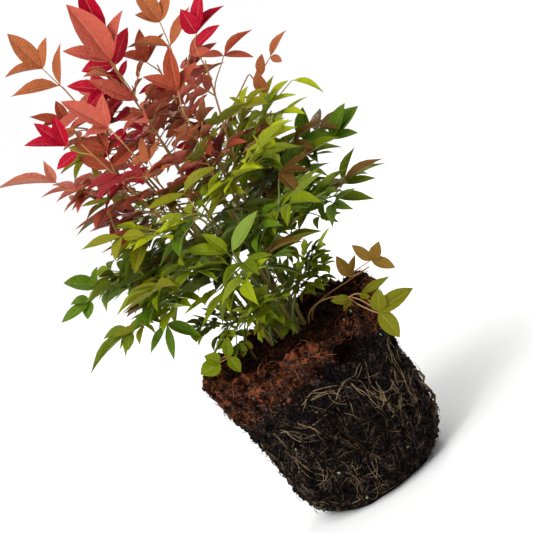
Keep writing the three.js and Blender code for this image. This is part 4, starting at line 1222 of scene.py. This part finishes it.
# %% The sweeping tree
sweep_tree, given = open_tree("sweep", {"Sides": "Int", "Material": "Material"})
curves = add(sweep_tree, "GeometryNodeMeshToCurve", {"Mesh": given["Geometry"]})
section = add(sweep_tree, "GeometryNodeCurvePrimitiveCircle", {"Resolution": given["Sides"], "Radius": 1.0})
tubes = add(
    sweep_tree,
    "GeometryNodeCurveToMesh",
    {
        "Curve": curves.outputs[0],
        "Profile Curve": section.outputs[0],
        "Scale": read_layer(sweep_tree, "thick"),
        "Fill Caps": True,
    },
)
soft = add(sweep_tree, "GeometryNodeSetShadeSmooth", {0: tubes.outputs[0]})
close_tree(sweep_tree, soft.outputs[0], given["Material"])


def swept(name, rods, sides, material):
    """rods is a list of (points, radii), in millimetres."""
    points, thick, edges = [], [], []
    for way, radii in rods:
        edges += [(len(points) + i, len(points) + i + 1) for i in range(len(way) - 1)]
        points += [point * MM for point in way]
        thick += [radius * MM for radius in radii]
    lines = shown(plain_mesh(name, points, [], edges))
    write_layer(lines, "thick", "FLOAT", thick)
    return settle(lines, sweep_tree, {"Sides": sides, "Material": material})


# %% [markdown]
# Young stalks are smooth and waxy, amber in the crown and green below. Thin young shoots stand between the
# canes: each rises from its own place in the ball into a mass of the skirt or the thicket. The solids have
# none of them, but without them the middle of the plant looks like a few wires.

# %% Stalks, twigs and young shoots
def stalk_skin(name, colour):
    material = paint(name, colour, roughness=0.45, shine=0.3)[0]
    wax = noise(material.node_tree, on_object(material.node_tree), scale=700, detail=2)
    weather(material, wax, 0.3, 0.0003, smoothest=0.35, roughest=0.55)
    return material


STALK_SKINS = {
    "crown": stalk_skin("stalk_amber", (0.42, 0.2, 0.06)),
    "middle": stalk_skin("stalk_yellow_green", (0.34, 0.32, 0.07)),
    "skirt": stalk_skin("stalk_green", (0.2, 0.25, 0.06)),
    "thicket": stalk_skin("stalk_fresh_green", (0.2, 0.27, 0.06)),
    "sprigs": stalk_skin("stalk_pinkish", (0.44, 0.23, 0.08)),
}
# how thick limbs and stems are against the solid's
SLIMMER = {"sprig": 0.5}
SLIMMER_ELSE = 0.75
STEM_STEPS = 6
LIMB_ROD_STEPS = 12
STEM_END = 0.6
TWIG = {"foot": 0.68, "thinner": 0.28}
YOUNG_SHOOTS = {"thicket": 4, "skirt": 1}
# where young shoots stand in the ball, then how they rise and taper
BED = {"reach": 16, "depth": 14, "front": 4, "sunk": 3}
YOUNG = {"rise": 14, "handle": 0.3, "points": 12, "foot": 0.95, "thinner": 0.04, "meets": 0.5, "vary": 0.4}


def young_shoot(mass):
    foot = Vector((BED["reach"] * mass.roll(), BED["depth"] * mass.roll() - BED["front"], 0))
    foot.z = ground_under(foot.x, foot.y) - BED["sunk"]
    goal = mass.start.lerp(mass.end, YOUNG["meets"] + YOUNG["vary"] * mass.roll())
    upright = foot.lerp(goal, YOUNG["handle"]) + YOUNG["rise"] * UP
    arriving = goal - YOUNG["handle"] * (goal - foot).length * mass.heading
    way = bend(foot, upright, arriving, goal, YOUNG["points"]).points
    return way, [YOUNG["foot"] - YOUNG["thinner"] * i for i in range(len(way))]


def stem_rod(mass, slimmer):
    tip = mass.shape["tip"] * slimmer
    steps = range(STEM_STEPS + 1)
    stem = [mass.start.lerp(mass.end, i / STEM_STEPS) for i in steps]
    return stem, [tip + (STEM_END - tip) * i / STEM_STEPS for i in steps]


def limb_rod(mass, slimmer):
    shares = [i / LIMB_ROD_STEPS for i in range(LIMB_ROD_STEPS + 1)]
    return [mass.limb.at(share) for share in shares], [slimmer * mass.radius(share) for share in shares]


for group, (_, kinds_in) in GROUPS.items():
    rods, limb_nodes = [], []
    for mass in masses.values():
        if mass.kind not in kinds_in:
            continue
        slimmer = SLIMMER.get(mass.kind, SLIMMER_ELSE)
        rods.append(stem_rod(mass, slimmer))
        if not mass.standing or mass.kind == "sprig":
            rods.append(limb_rod(mass, slimmer))
        if f"stalk_{mass.name}" in NODES:
            limb_nodes.append(f"stalk_{mass.name}")
        rods += [young_shoot(mass) for _ in range(YOUNG_SHOOTS.get(mass.kind, 0))]
    for mass, frond in fronds:
        if mass.kind in kinds_in:
            way = frond["path"].points
            rods.append((way, [TWIG["foot"] - TWIG["thinner"] * i / len(way) for i in range(len(way))]))
    piece = swept(f"stalks_{group}", rods, sides=6, material=STALK_SKINS[group])
    count_triangles(piece)
    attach(piece, "root")
    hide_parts(*limb_nodes, *[f"foliage_{m.name}" for m in masses.values() if m.kind in kinds_in])

# %% [markdown]
# ## Canes
# A cane has a ring where each old leaf was, with a short sheath left on it, and fissured yellow-brown bark.
# A straight pipe would look like wire, so the radius swells at every ring and the sweep gets many of them.
# The canes here are about half as thick as their solids, as slender as the real ones.

# %% Canes
CANE_STEPS = 72
CANE_SHARE = 0.52
# step between rings in millimetres, then how proud and long, in steps, a ring and its sheath are
RING = {"step": 17, "proud": 0.4, "long": 0.09, "sheath": 0.3, "sheath long": 0.3, "uneven": 0.02}
STREAK = 0.12


def bark(name, light, dark):
    """Fissures drawn out along the plant, and a fine grain."""
    material, shader = paint(name, light, roughness=0.55, shine=0.2)
    tree = material.node_tree
    drawn = add(tree, "ShaderNodeMapping", {"Vector": on_object(tree), "Scale": (1, 1, STREAK)}).outputs[0]
    grain = noise(tree, drawn, scale=900, detail=4)
    tree.links.new(blended(tree, grain, light, dark), shader.inputs["Base Color"])
    weather(material, grain, 0.4, 0.0004, smoothest=0.45, roughest=0.7)
    return material


def ringed_cane(mass):
    way, radii = [], []
    for i in range(CANE_STEPS + 1):
        share = i / CANE_STEPS
        phase = (share * mass.limb.length / RING["step"] + mass.roll() * RING["uneven"]) % 1
        ring = RING["proud"] * math.exp(-((phase / RING["long"]) ** 2))
        sheath = RING["sheath"] * math.exp(-(((1 - phase) / RING["sheath long"]) ** 2))
        radii.append(mass.radius(share) * CANE_SHARE + (ring + sheath))
        way.append(mass.limb.at(share))
    return way, radii


canes = [ringed_cane(mass) for mass in masses.values() if mass.shape is CANE]
cane_bark = bark("cane_bark", (0.36, 0.26, 0.06), (0.12, 0.075, 0.02))
piece = swept("canes", canes, sides=12, material=cane_bark)
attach(piece, "root")
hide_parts(*[name for name in NODES if name.startswith("cane_")])
count_triangles(piece)

# %% [markdown]
# ## Skin of the root ball
# The ball is worked out ring by ring from the same measures as its solid, at a little over a millimetre
# between points, and a tree then pushes the points in and out by three sizes of noise: lumps, crumbs and
# grains. Sculpting would give the same look, but not the same ball at every run.

# %% Rings of the ball
COLUMNS = 360
STEP = 1.4
EVEN_TO = 132
BROW = 0.94
# how many rings the underside, the edge, the rim's corner and the top have
RINGS = {"underside": 16, "edge": 9, "corner": 6, "top": 52}


def between(a, b, share):
    return tuple(p + (q - p) * share for p, q in zip(a, b))


def ball_rings(azimuth):
    """Radius and height of each ring at these azimuths, from the underside's middle to the top's."""
    flat = 0 * azimuth
    foot = ball_radius(azimuth, 0)
    rings = [(share * foot, flat) for share in np.linspace(0.02, 0.98, RINGS["underside"])]
    rings += [(ball_radius(azimuth, height), height + flat) for height in np.arange(0, EVEN_TO, STEP)]
    low = ball_radius(azimuth, EVEN_TO), EVEN_TO + flat
    edge = ball_radius(azimuth, RIM - EDGE), top_height(azimuth, 1)
    corner = edge[0], edge[1] + EDGE
    brow = BROW * edge[0], top_height(azimuth, BROW)
    rings += [between(low, edge, share) for share in np.linspace(0, 1, RINGS["edge"])[1:]]
    for share in np.linspace(0, 1, RINGS["corner"])[1:]:
        rings.append(between(between(edge, corner, share), between(corner, brow, share), share))
    for share in np.linspace(BROW, 0.015, RINGS["top"])[1:]:
        rings.append((share * edge[0], top_height(azimuth, share)))
    return rings


around = np.linspace(0, 2 * np.pi, COLUMNS, endpoint=False)
rings = ball_rings(around)
radii = np.array([ring[0] for ring in rings])
heights = np.array([ring[1] for ring in rings])
print("rings of the ball:", len(rings), "points:", radii.size)

# %% [markdown]
# The collar has a hollow at the front, where the coir has broken away, and the coir runs down into
# the peat along an uneven line. Both are layers of values between 0 and 1 on the points, which the trees
# and the skins read later, and one more layer paints shade into the hollow and the dish. Weight painting
# would do the same, but it can't be written down.

# %% Hollow and layers
HOLLOW = {"azimuth": -64, "width": 9, "from": 108, "to": 134, "depth": 15, "lower lip": 8, "upper lip": 6}
SIDE_FROM = 60
# azimuth, and height above which the ball is coir
COIR_LINE = [
    (0, 114), (25, 102), (50, 122), (85, 99), (115, 119), (150, 103), (180, 116), (205, 111), (225, 119),
    (262, 124), (285, 127), (315, 124), (338, 118), (360, 114),
]
into = smooth(heights, HOLLOW["from"], HOLLOW["from"] + HOLLOW["lower lip"])
out_of = smooth(heights, HOLLOW["to"] - HOLLOW["upper lip"], HOLLOW["to"])
across = np.exp(-((degrees_from(HOLLOW["azimuth"], around) / HOLLOW["width"]) ** 4))
opened = into * (1 - out_of) * across * (radii > SIDE_FROM)
radii = radii - HOLLOW["depth"] * opened
coir_line = np.interp(np.degrees(around) % 360, *zip(*COIR_LINE))
in_dish = smooth(66 - radii, 0, 6) * (heights > EVEN_TO)
# each layer rises between two heights
layers = {
    "relief": smooth(heights, 0.5, 7),
    "peat": smooth(heights, 2, 8) * (1 - opened),
    "coir": smooth(heights - coir_line, -15, 11) * (1 - opened),
    "rim": smooth(heights, 138, 144) * smooth(radii, SIDE_FROM, 66),
    # painted shade: the hollow in full and the dish a little less, where shadow falls in them
    "shade": np.maximum(opened, 0.7 * in_dish),
}

# %% Mesh of the ball
skin_points = np.stack([radii * np.cos(around), radii * np.sin(around), heights], axis=-1) * MM
corners = np.arange(len(rings) * COLUMNS).reshape(len(rings), COLUMNS)
lower, upper = corners[:-1], corners[1:]
quads = np.stack([lower, np.roll(lower, -1, 1), np.roll(upper, -1, 1), upper], axis=-1).reshape(-1, 4)
caps = [tuple(map(int, corners[0][::-1])), tuple(map(int, corners[-1]))]
ball = shown(plain_mesh("root_ball_skin", skin_points.reshape(-1, 3).tolist(), quads.tolist() + caps))
for name, values in layers.items():
    write_layer(ball, name, "FLOAT", values.ravel())
print("layers of the ball:", *layers)

# %% [markdown]
# The tree adds up three noises, coarse to fine, each with its own height as a named input, and moves each
# point along its normal. A displacement modifier does so too, but with one texture at a time. The sum is
# nothing on the underside, so that the ball still stands flat.

# %% The peat tree
# scale and detail of each noise
NOISES = {"Lumps": (55, 2), "Crumbs": (190, 3), "Grains": (420, 1)}
peat_tree, given = open_tree("peat", dict.fromkeys(NOISES, "Float") | {"Material": "Material"})
spot = add(peat_tree, "GeometryNodeInputPosition").outputs[0]
height = 0.0
for label, (scale, detail) in NOISES.items():
    centred = calc(peat_tree, "SUBTRACT", noise(peat_tree, spot, scale, detail, roughness=0.6), 0.5)
    height = calc(peat_tree, "MULTIPLY_ADD", centred, given[label], height)
kept = calc(peat_tree, "MULTIPLY", height, read_layer(peat_tree, "relief"))
normal = add(peat_tree, "GeometryNodeInputNormal").outputs[0]
push = add(peat_tree, "ShaderNodeVectorMath", {0: normal, "Scale": kept}, operation="SCALE")
feeds = {"Geometry": given["Geometry"], "Offset": push.outputs[0]}
moved = add(peat_tree, "GeometryNodeSetPosition", feeds)
soft = add(peat_tree, "GeometryNodeSetShadeSmooth", {0: moved.outputs[0]})
close_tree(peat_tree, soft.outputs[0], given["Material"])
print("peat tree nodes:", len(peat_tree.nodes))

# %% [markdown]
# ## Peat and coir
# The lower part of the ball is black peat, and its top is coir, red-brown and drier, with painted shade in
# its hollow and its dish. Two materials would meet in a hard line of faces. One that holds both lets a
# noise fray the line, and finer noises mottle each side of it.

# %% Material of the ball
# the darkest coir grains, and also the colour of the painted shade in the hollow and the dish
DARK_COIR_AND_SHADE = (0.006, 0.002, 0.001)
COIR_PATCH = (0.02, 0.006, 0.003)
FRAYING = 1.6


def ramp(tree, value, *stops):
    """The stops are two places on the scale, each with its colour."""
    node = add(tree, "ShaderNodeValToRGB", {0: value})
    for element, (position, colour) in zip(node.color_ramp.elements, stops):
        element.position = position
        element.color = (*colour, 1)
    return node.outputs[0]


peat, shader = paint("peat_and_coir", (0.02, 0.015, 0.012), roughness=0.85, shine=0.03)
tree = peat.node_tree
place = on_object(tree)
wave = noise(tree, place, scale=60, detail=5, roughness=0.65)
frayed = calc(tree, "MULTIPLY_ADD", wave, FRAYING, painted_layer(tree, "coir"))
grit = noise(tree, place, scale=520, detail=6, roughness=0.7)
patch = noise(tree, place, scale=90, detail=4, roughness=0.6)
# the peat's lighter flecks: partly its own brownish bits, partly a painted sheen in place of its damp
# glints
black_and_sheen = ramp(tree, grit, (0.45, (0.001, 0.001, 0.001)), (0.78, (0.03, 0.02, 0.018)))
brown = ramp(tree, grit, (0.4, DARK_COIR_AND_SHADE), (0.72, (0.21, 0.064, 0.024)))
dry = blended(tree, stretched(tree, patch, 0.4, 0.62), brown, COIR_PATCH)
both = blended(tree, stretched(tree, frayed, 1.1, 1.5), black_and_sheen, dry)
# painted shade: the shade layer darkens the hollow and the dish
with_painted_shade = blended(tree, painted_layer(tree, "shade"), both, DARK_COIR_AND_SHADE)
tree.links.new(with_painted_shade, shader.inputs["Base Color"])
weather(peat, grit, 0.8, 0.001, smoothest=0.7, roughest=0.95)
settle(ball, peat_tree, {"Lumps": 4 * MM, "Crumbs": 6.5 * MM, "Grains": 3 * MM, "Material": peat})
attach(ball, "root")
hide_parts("root_ball")
count_triangles(ball)

# %% [markdown]
# ## Crumbs, chips and fibres
# Close up, the ball is a pile of small things, and pushing its skin in and out can't make the loose ends
# that stand off it. A particle system could strew them, but its copies are never real faces of a mesh. One
# scattering tree makes real ones: it strews a small shape over the skin, as thickly as a layer of the ball
# says, with a random turn and size from a fixed seed.

# %% The scattering tree
scatter_inputs = {"Grain": "Object", "Where": "String", "Seed": "Int", "Material": "Material"}
scatter_inputs |= dict.fromkeys(["Density", "Smallest", "Largest", "Tilt"], "Float")
scatter_tree, given = open_tree("scatter", scatter_inputs)
dense = calc(scatter_tree, "MULTIPLY", read_layer(scatter_tree, given["Where"]), given["Density"])
feeds = {"Mesh": given["Geometry"], "Density": dense, "Seed": given["Seed"]}
strewn = add(scatter_tree, "GeometryNodeDistributePointsOnFaces", feeds)
tilts = add(scatter_tree, "ShaderNodeCombineXYZ", {0: given["Tilt"], 1: given["Tilt"], 2: math.pi})
least = add(scatter_tree, "ShaderNodeVectorMath", {0: tilts.outputs[0], "Scale": -1.0}, operation="SCALE")
feeds = {0: least.outputs[0], 1: tilts.outputs[0], "Seed": given["Seed"]}
turns = add(scatter_tree, "FunctionNodeRandomValue", feeds, data_type="FLOAT_VECTOR")
turned = add(scatter_tree, "FunctionNodeEulerToRotation", {0: turns.outputs[0]})
feeds = {0: strewn.outputs["Rotation"], 1: turned.outputs[0]}
spun = add(scatter_tree, "FunctionNodeRotateRotation", feeds, rotation_space="LOCAL")
feeds = {2: given["Smallest"], 3: given["Largest"], "Seed": given["Seed"]}
sizes = add(scatter_tree, "FunctionNodeRandomValue", feeds, data_type="FLOAT")
grain = add(scatter_tree, "GeometryNodeObjectInfo", {"Object": given["Grain"]})
feeds = {"Points": strewn.outputs["Points"], "Instance": grain.outputs["Geometry"]}
feeds |= {"Rotation": spun.outputs[0], "Scale": sizes.outputs[1]}
copies = add(scatter_tree, "GeometryNodeInstanceOnPoints", feeds)
close_tree(scatter_tree, copies.outputs["Instances"], given["Material"])
print("scattering tree nodes:", len(scatter_tree.nodes))

# %% [markdown]
# Each small shape is made once, at size 1, with few faces, because it is strewn hundreds of times: a crumb,
# a flat chip, a straight fibre and a curled one. A cut-up noise would give every crumb a shape of its own,
# but a random turn and size hide that they are alike. Their colour wanders from grain to grain.

# %% Grain shapes
UNEVEN = {"wide": 0.35, "high": 0.4}
HAIR = {"rings": 5, "radius": 0.026, "rise": 0.22, "thinner": 0.5}


def crumb_shape(name, seed, flat):
    """A crumb: an uneven eight-cornered lump of size 1."""
    roll = dice(seed)
    corners = []
    for z, turn in ((-1, 0), (1, 45)):
        for k in range(4):
            angle = math.radians(turn + 90 * k)
            spread = 0.5 * (1 + UNEVEN["wide"] * roll())
            height = flat * 0.35 * (z + UNEVEN["high"] * roll())
            corners.append((spread * math.cos(angle), spread * math.sin(angle), height))
    faces = [(3, 2, 1, 0), (4, 5, 6, 7)]
    for k in range(4):
        nxt = (k + 1) % 4
        faces += [(k, nxt, 4 + k), (nxt, 4 + nxt, 4 + k)]
    return plain_mesh(name, corners, faces)


def fibre_shape(name, curl):
    """A hair of length 1 that starts at the skin and arches over it."""
    corners, faces = [], []
    last = HAIR["rings"] - 1
    for i, t in enumerate(np.linspace(0, 1, HAIR["rings"])):
        lift = HAIR["rise"] * math.sin(math.pi * min(1, t * 1.1))
        point = Vector((curl * math.sin(2.4 * t), t, lift))
        thick = HAIR["radius"] * (1 - HAIR["thinner"] * i / last)
        corners += [point + Vector((thick * math.cos(a), 0, thick * math.sin(a))) for a in (0, 2.1, 4.2)]
        if i:
            low, high = 3 * i - 3, 3 * i
            faces += [(low + k, high + k, high + (k + 1) % 3, low + (k + 1) % 3) for k in range(3)]
    top = 3 * last
    return plain_mesh(name, corners, faces + [(0, 1, 2), (top + 2, top + 1, top)])


def mottled(name, light, dark, scale, roughness):
    """A colour that wanders between two from grain to grain, with painted shade in the dish and the hollow.
    """
    material, shader = paint(name, light, roughness, shine=0.02)
    tree = material.node_tree
    grain = noise(tree, on_object(tree), scale, detail=5, roughness=0.75)
    blend = blended(tree, stretched(tree, grain, 0.41, 0.55), light, dark)
    # painted shade: grains in the dish and the hollow take the darker colour
    with_painted_shade = blended(tree, painted_layer(tree, "shade"), blend, dark)
    tree.links.new(with_painted_shade, shader.inputs["Base Color"])
    weather(material, grain, 0.4, 0.0005, smoothest=roughness - 0.1, roughest=roughness + 0.1)
    return material


crumb, chip = crumb_shape("crumb", 5, 1.0), crumb_shape("chip", 11, 0.5)
hair, curl = fibre_shape("straight_fibre", 0.08), fibre_shape("curled_fibre", 0.3)
print("faces in a crumb:", len(crumb.data.polygons), "in a fibre:", len(hair.data.polygons))

# %% [markdown]
# Peat crumbs and bark bits lie wherever the peat layer is, coir crumbs, chips and fibres where the ball is
# coir, and big clods break up the rim. Each kind is strewn over a copy of the finished skin.

# %% Crumbs, chips and fibres
# name, shape, layer, per square metre, sizes, tilt in degrees, seed, light and dark colour
STREWN = [
    # the peat crumbs' light colour is partly their own and partly a painted sheen
    ("peat_crumbs", crumb, "peat", 62000, 1.2, 3.2, 180, 21, (0.042, 0.032, 0.031), (0.001, 0.001, 0.001)),
    ("bark_bits", chip, "peat", 9000, 2.4, 5.5, 60, 27, (0.045, 0.026, 0.019), (0.002, 0.001, 0.001)),
    ("coir_crumbs", crumb, "coir", 62000, 1.2, 3.4, 180, 22, (0.205, 0.056, 0.023), (0.006, 0.002, 0.001)),
    ("coir_chips", chip, "coir", 9000, 2, 4.6, 70, 23, (0.23, 0.07, 0.03), (0.006, 0.002, 0.001)),
    ("rim_clods", chip, "rim", 9000, 5, 11, 180, 29, (0.16, 0.045, 0.018), (0.01, 0.003, 0.002)),
    ("coir_fibres", hair, "coir", 22000, 6, 13, 18, 24, (0.3, 0.1, 0.044), (0.012, 0.004, 0.002)),
    ("coir_curls", curl, "coir", 12000, 5, 12, 35, 25, (0.34, 0.13, 0.05), (0.035, 0.012, 0.006)),
    ("peat_fibres", hair, "peat", 22000, 5, 12, 9, 26, (0.09, 0.062, 0.045), (0.004, 0.003, 0.002)),
    ("pale_grains", crumb, "peat", 380, 2, 3, 180, 28, (0.3, 0.36, 0.22), (0.22, 0.26, 0.18)),
]
for name, shape, layer, density, least, most, tilt, seed, light, dark in STREWN:
    piece = shown(bpy.data.objects.new(name, ball.data.copy()))
    values = {
        "Grain": shape,
        "Where": layer,
        "Density": float(density),
        "Smallest": least * MM,
        "Largest": most * MM,
        "Tilt": math.radians(tilt),
        "Seed": seed,
        "Material": mottled(name, light, dark, scale=95, roughness=0.8),
    }
    settle(piece, scatter_tree, values)
    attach(piece, "root")
    count_triangles(piece)

# %% [markdown]
# ## Roots
# Pale roots creep over the peat, down and across, each a thin thread that keeps to the skin. The strong
# roots, which give the front its look, start from a table of angles and heights, and chance draws the fine
# ones.

# %% Strong roots
# azimuth and height of the points that each strong root passes, in degrees and millimetres
STRONG_ROOTS = [
    [(-106, 106), (-95, 111), (-82, 104), (-76, 96)],
    [(-98, 108), (-88, 104), (-82, 92)],
    [(-84, 100), (-77, 105), (-69, 102), (-64, 107)],
    [(-73, 99), (-71, 88), (-67, 76), (-68, 60)],
    [(-104, 70), (-94, 56), (-88, 40), (-82, 34)],
    [(-100, 66), (-92, 48), (-84, 30)],
    [(-116, 94), (-110, 84), (-108, 66)],
    [(-92, 88), (-93, 66), (-90, 44), (-92, 16)],
    [(-62, 86), (-60, 62), (-62, 36), (-58, 14)],
    [(-78, 78), (-84, 64), (-80, 46)],
    [(-130, 92), (-122, 78), (-112, 74)],
    [(-112, 40), (-106, 30), (-112, 16)],
    [(-38, 104), (-36, 76), (-40, 50)],
    [(-140, 70), (-134, 50), (-124, 42)],
]
# corners of short torn ends that stand off the ball at the right, and their radii
LOOSE_ENDS = [
    [(66, -12, 54), (69, -13, 48), (70, -13, 41), (68, -12, 35)],
    [(65, -16, 46), (69, -18, 43), (70, -19, 38), (67, -18, 32)],
    [(62, -22, 38), (66, -24, 35), (66, -25, 30), (62, -24, 26)],
    [(68, 4, 60), (71, 4, 56), (72, 3, 50), (69, 3, 46)],
]
LOOSE_RADII = [0.5, 1.1, 1.3, 0.5]
print("strong roots:", len(STRONG_ROOTS), "loose ends:", len(LOOSE_ENDS))

# %% [markdown]
# Curves drawn by hand would float over the ball's lumps or cut through them. So a smooth curve runs through
# a root's marks, each of its points is dropped on the skin by a ray, and the row is then evened out.

# %% Paths on the skin
ROOT_STEP = 2
LOWEST = 2
RAY_FROM = 120
tree_of_ball = BVHTree.FromObject(ball, bpy.context.evaluated_depsgraph_get())


def on_skin(azimuth, height, lift):
    way = outward(azimuth, 0)
    start = (way * RAY_FROM + Vector((0, 0, height))) * MM
    hit = tree_of_ball.ray_cast(start, -way)[0]
    return hit / MM + way * lift


def eased(marks, step):
    """The marks' points and smooth ones between them, some millimetres apart."""
    padded = [marks[0], *marks, marks[-1]]
    way = []
    for before, a, b, after in zip(padded, padded[1:], padded[2:], padded[3:]):
        a, b, before, after = (Vector(mark) for mark in (a, b, before, after))
        count = max(2, int((b - a).length / step))
        for i in range(count):
            t = i / count
            square, cube = 2 * before - 5 * a + 4 * b - after, 3 * a - before - 3 * b + after
            way.append(0.5 * (2 * a + (b - before) * t + square * t**2 + cube * t**3))
    return way + [Vector(marks[-1])]


def root_along(marks, lift):
    """Points along a root, each dropped on the skin, and then drawn taut over its small hollows."""
    way = [on_skin(azimuth, max(LOWEST, height), lift) for azimuth, height in eased(marks, ROOT_STEP)]
    for _ in range(4):
        way[1:-1] = [(a + 2 * b + c) / 4 for a, b, c in zip(way, way[1:], way[2:])]
    return way


# %% [markdown]
# A strong root is two strands that part and meet. A fine one walks by chance: it starts at a random spot,
# leans downwards and wanders at every step. All of them taper to half their thickness.

# %% Roots
STRAND = {"radius": 0.36, "thinner": 0.12, "lift": 0.9, "sway": 2, "apart": 2.5, "climb": 5}
OFF_LINE = 2.5
FINE_ROOTS = {"count": 320, "radius": 0.27, "vary": 0.11, "lift": 0.5, "bending": 0.32, "sway": 0.5}
FINE_HEIGHTS = {"middle": 58, "spread": 48, "least": 3, "most": 112}
FINE_STEP = {"degrees": 5, "mm": 6.5}
roll = dice(77)


def tapered(way, radius):
    return way, [radius * (1 - 0.5 * i / len(way)) for i in range(len(way))]


def wandering(marks):
    """The marks with one more between each two, off their line."""
    way = [marks[0]]
    for (a, h), (next_a, next_h) in zip(marks, marks[1:]):
        off = OFF_LINE * roll(), OFF_LINE * roll()
        way += [((a + next_a) / 2 + off[0], (h + next_h) / 2 + off[1]), (next_a, next_h)]
    return way


def strand_marks(marks, strand):
    shifted = []
    for azimuth, height in marks:
        azimuth = azimuth + STRAND["sway"] * roll() + STRAND["apart"] * strand * roll()
        height = height + STRAND["sway"] * roll() + STRAND["climb"] * strand * roll()
        shifted.append((azimuth, height))
    return wandering(shifted)


def fine_marks():
    azimuth, height = 180 * roll(), FINE_HEIGHTS["middle"] + FINE_HEIGHTS["spread"] * roll()
    heading = math.radians(-90 + 80 * roll())
    bending = FINE_ROOTS["bending"] * roll()
    marks = [(azimuth, height)]
    for _ in range(int(6 + 3 * roll())):
        heading += bending + FINE_ROOTS["sway"] * roll()
        azimuth += FINE_STEP["degrees"] * math.cos(heading)
        height += FINE_STEP["mm"] * math.sin(heading)
        height = min(FINE_HEIGHTS["most"], max(FINE_HEIGHTS["least"], height))
        marks.append((azimuth, height))
    return marks


rods = []
for marks in STRONG_ROOTS:
    for strand in range(2):
        radius = STRAND["radius"] - STRAND["thinner"] * strand
        rods.append(tapered(root_along(strand_marks(marks, strand), STRAND["lift"]), radius))
for _ in range(FINE_ROOTS["count"]):
    way = root_along(fine_marks(), FINE_ROOTS["lift"])
    rods.append(tapered(way, FINE_ROOTS["radius"] + FINE_ROOTS["vary"] * roll()))
rods += [([Vector(point) for point in loose], LOOSE_RADII) for loose in LOOSE_ENDS]
root_skin = mottled("root_skin", (0.32, 0.225, 0.12), (0.03, 0.018, 0.01), scale=24, roughness=0.6)
piece = swept("roots", rods, sides=5, material=root_skin)
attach(piece, "root")
print("roots:", len(rods))
count_triangles(piece)
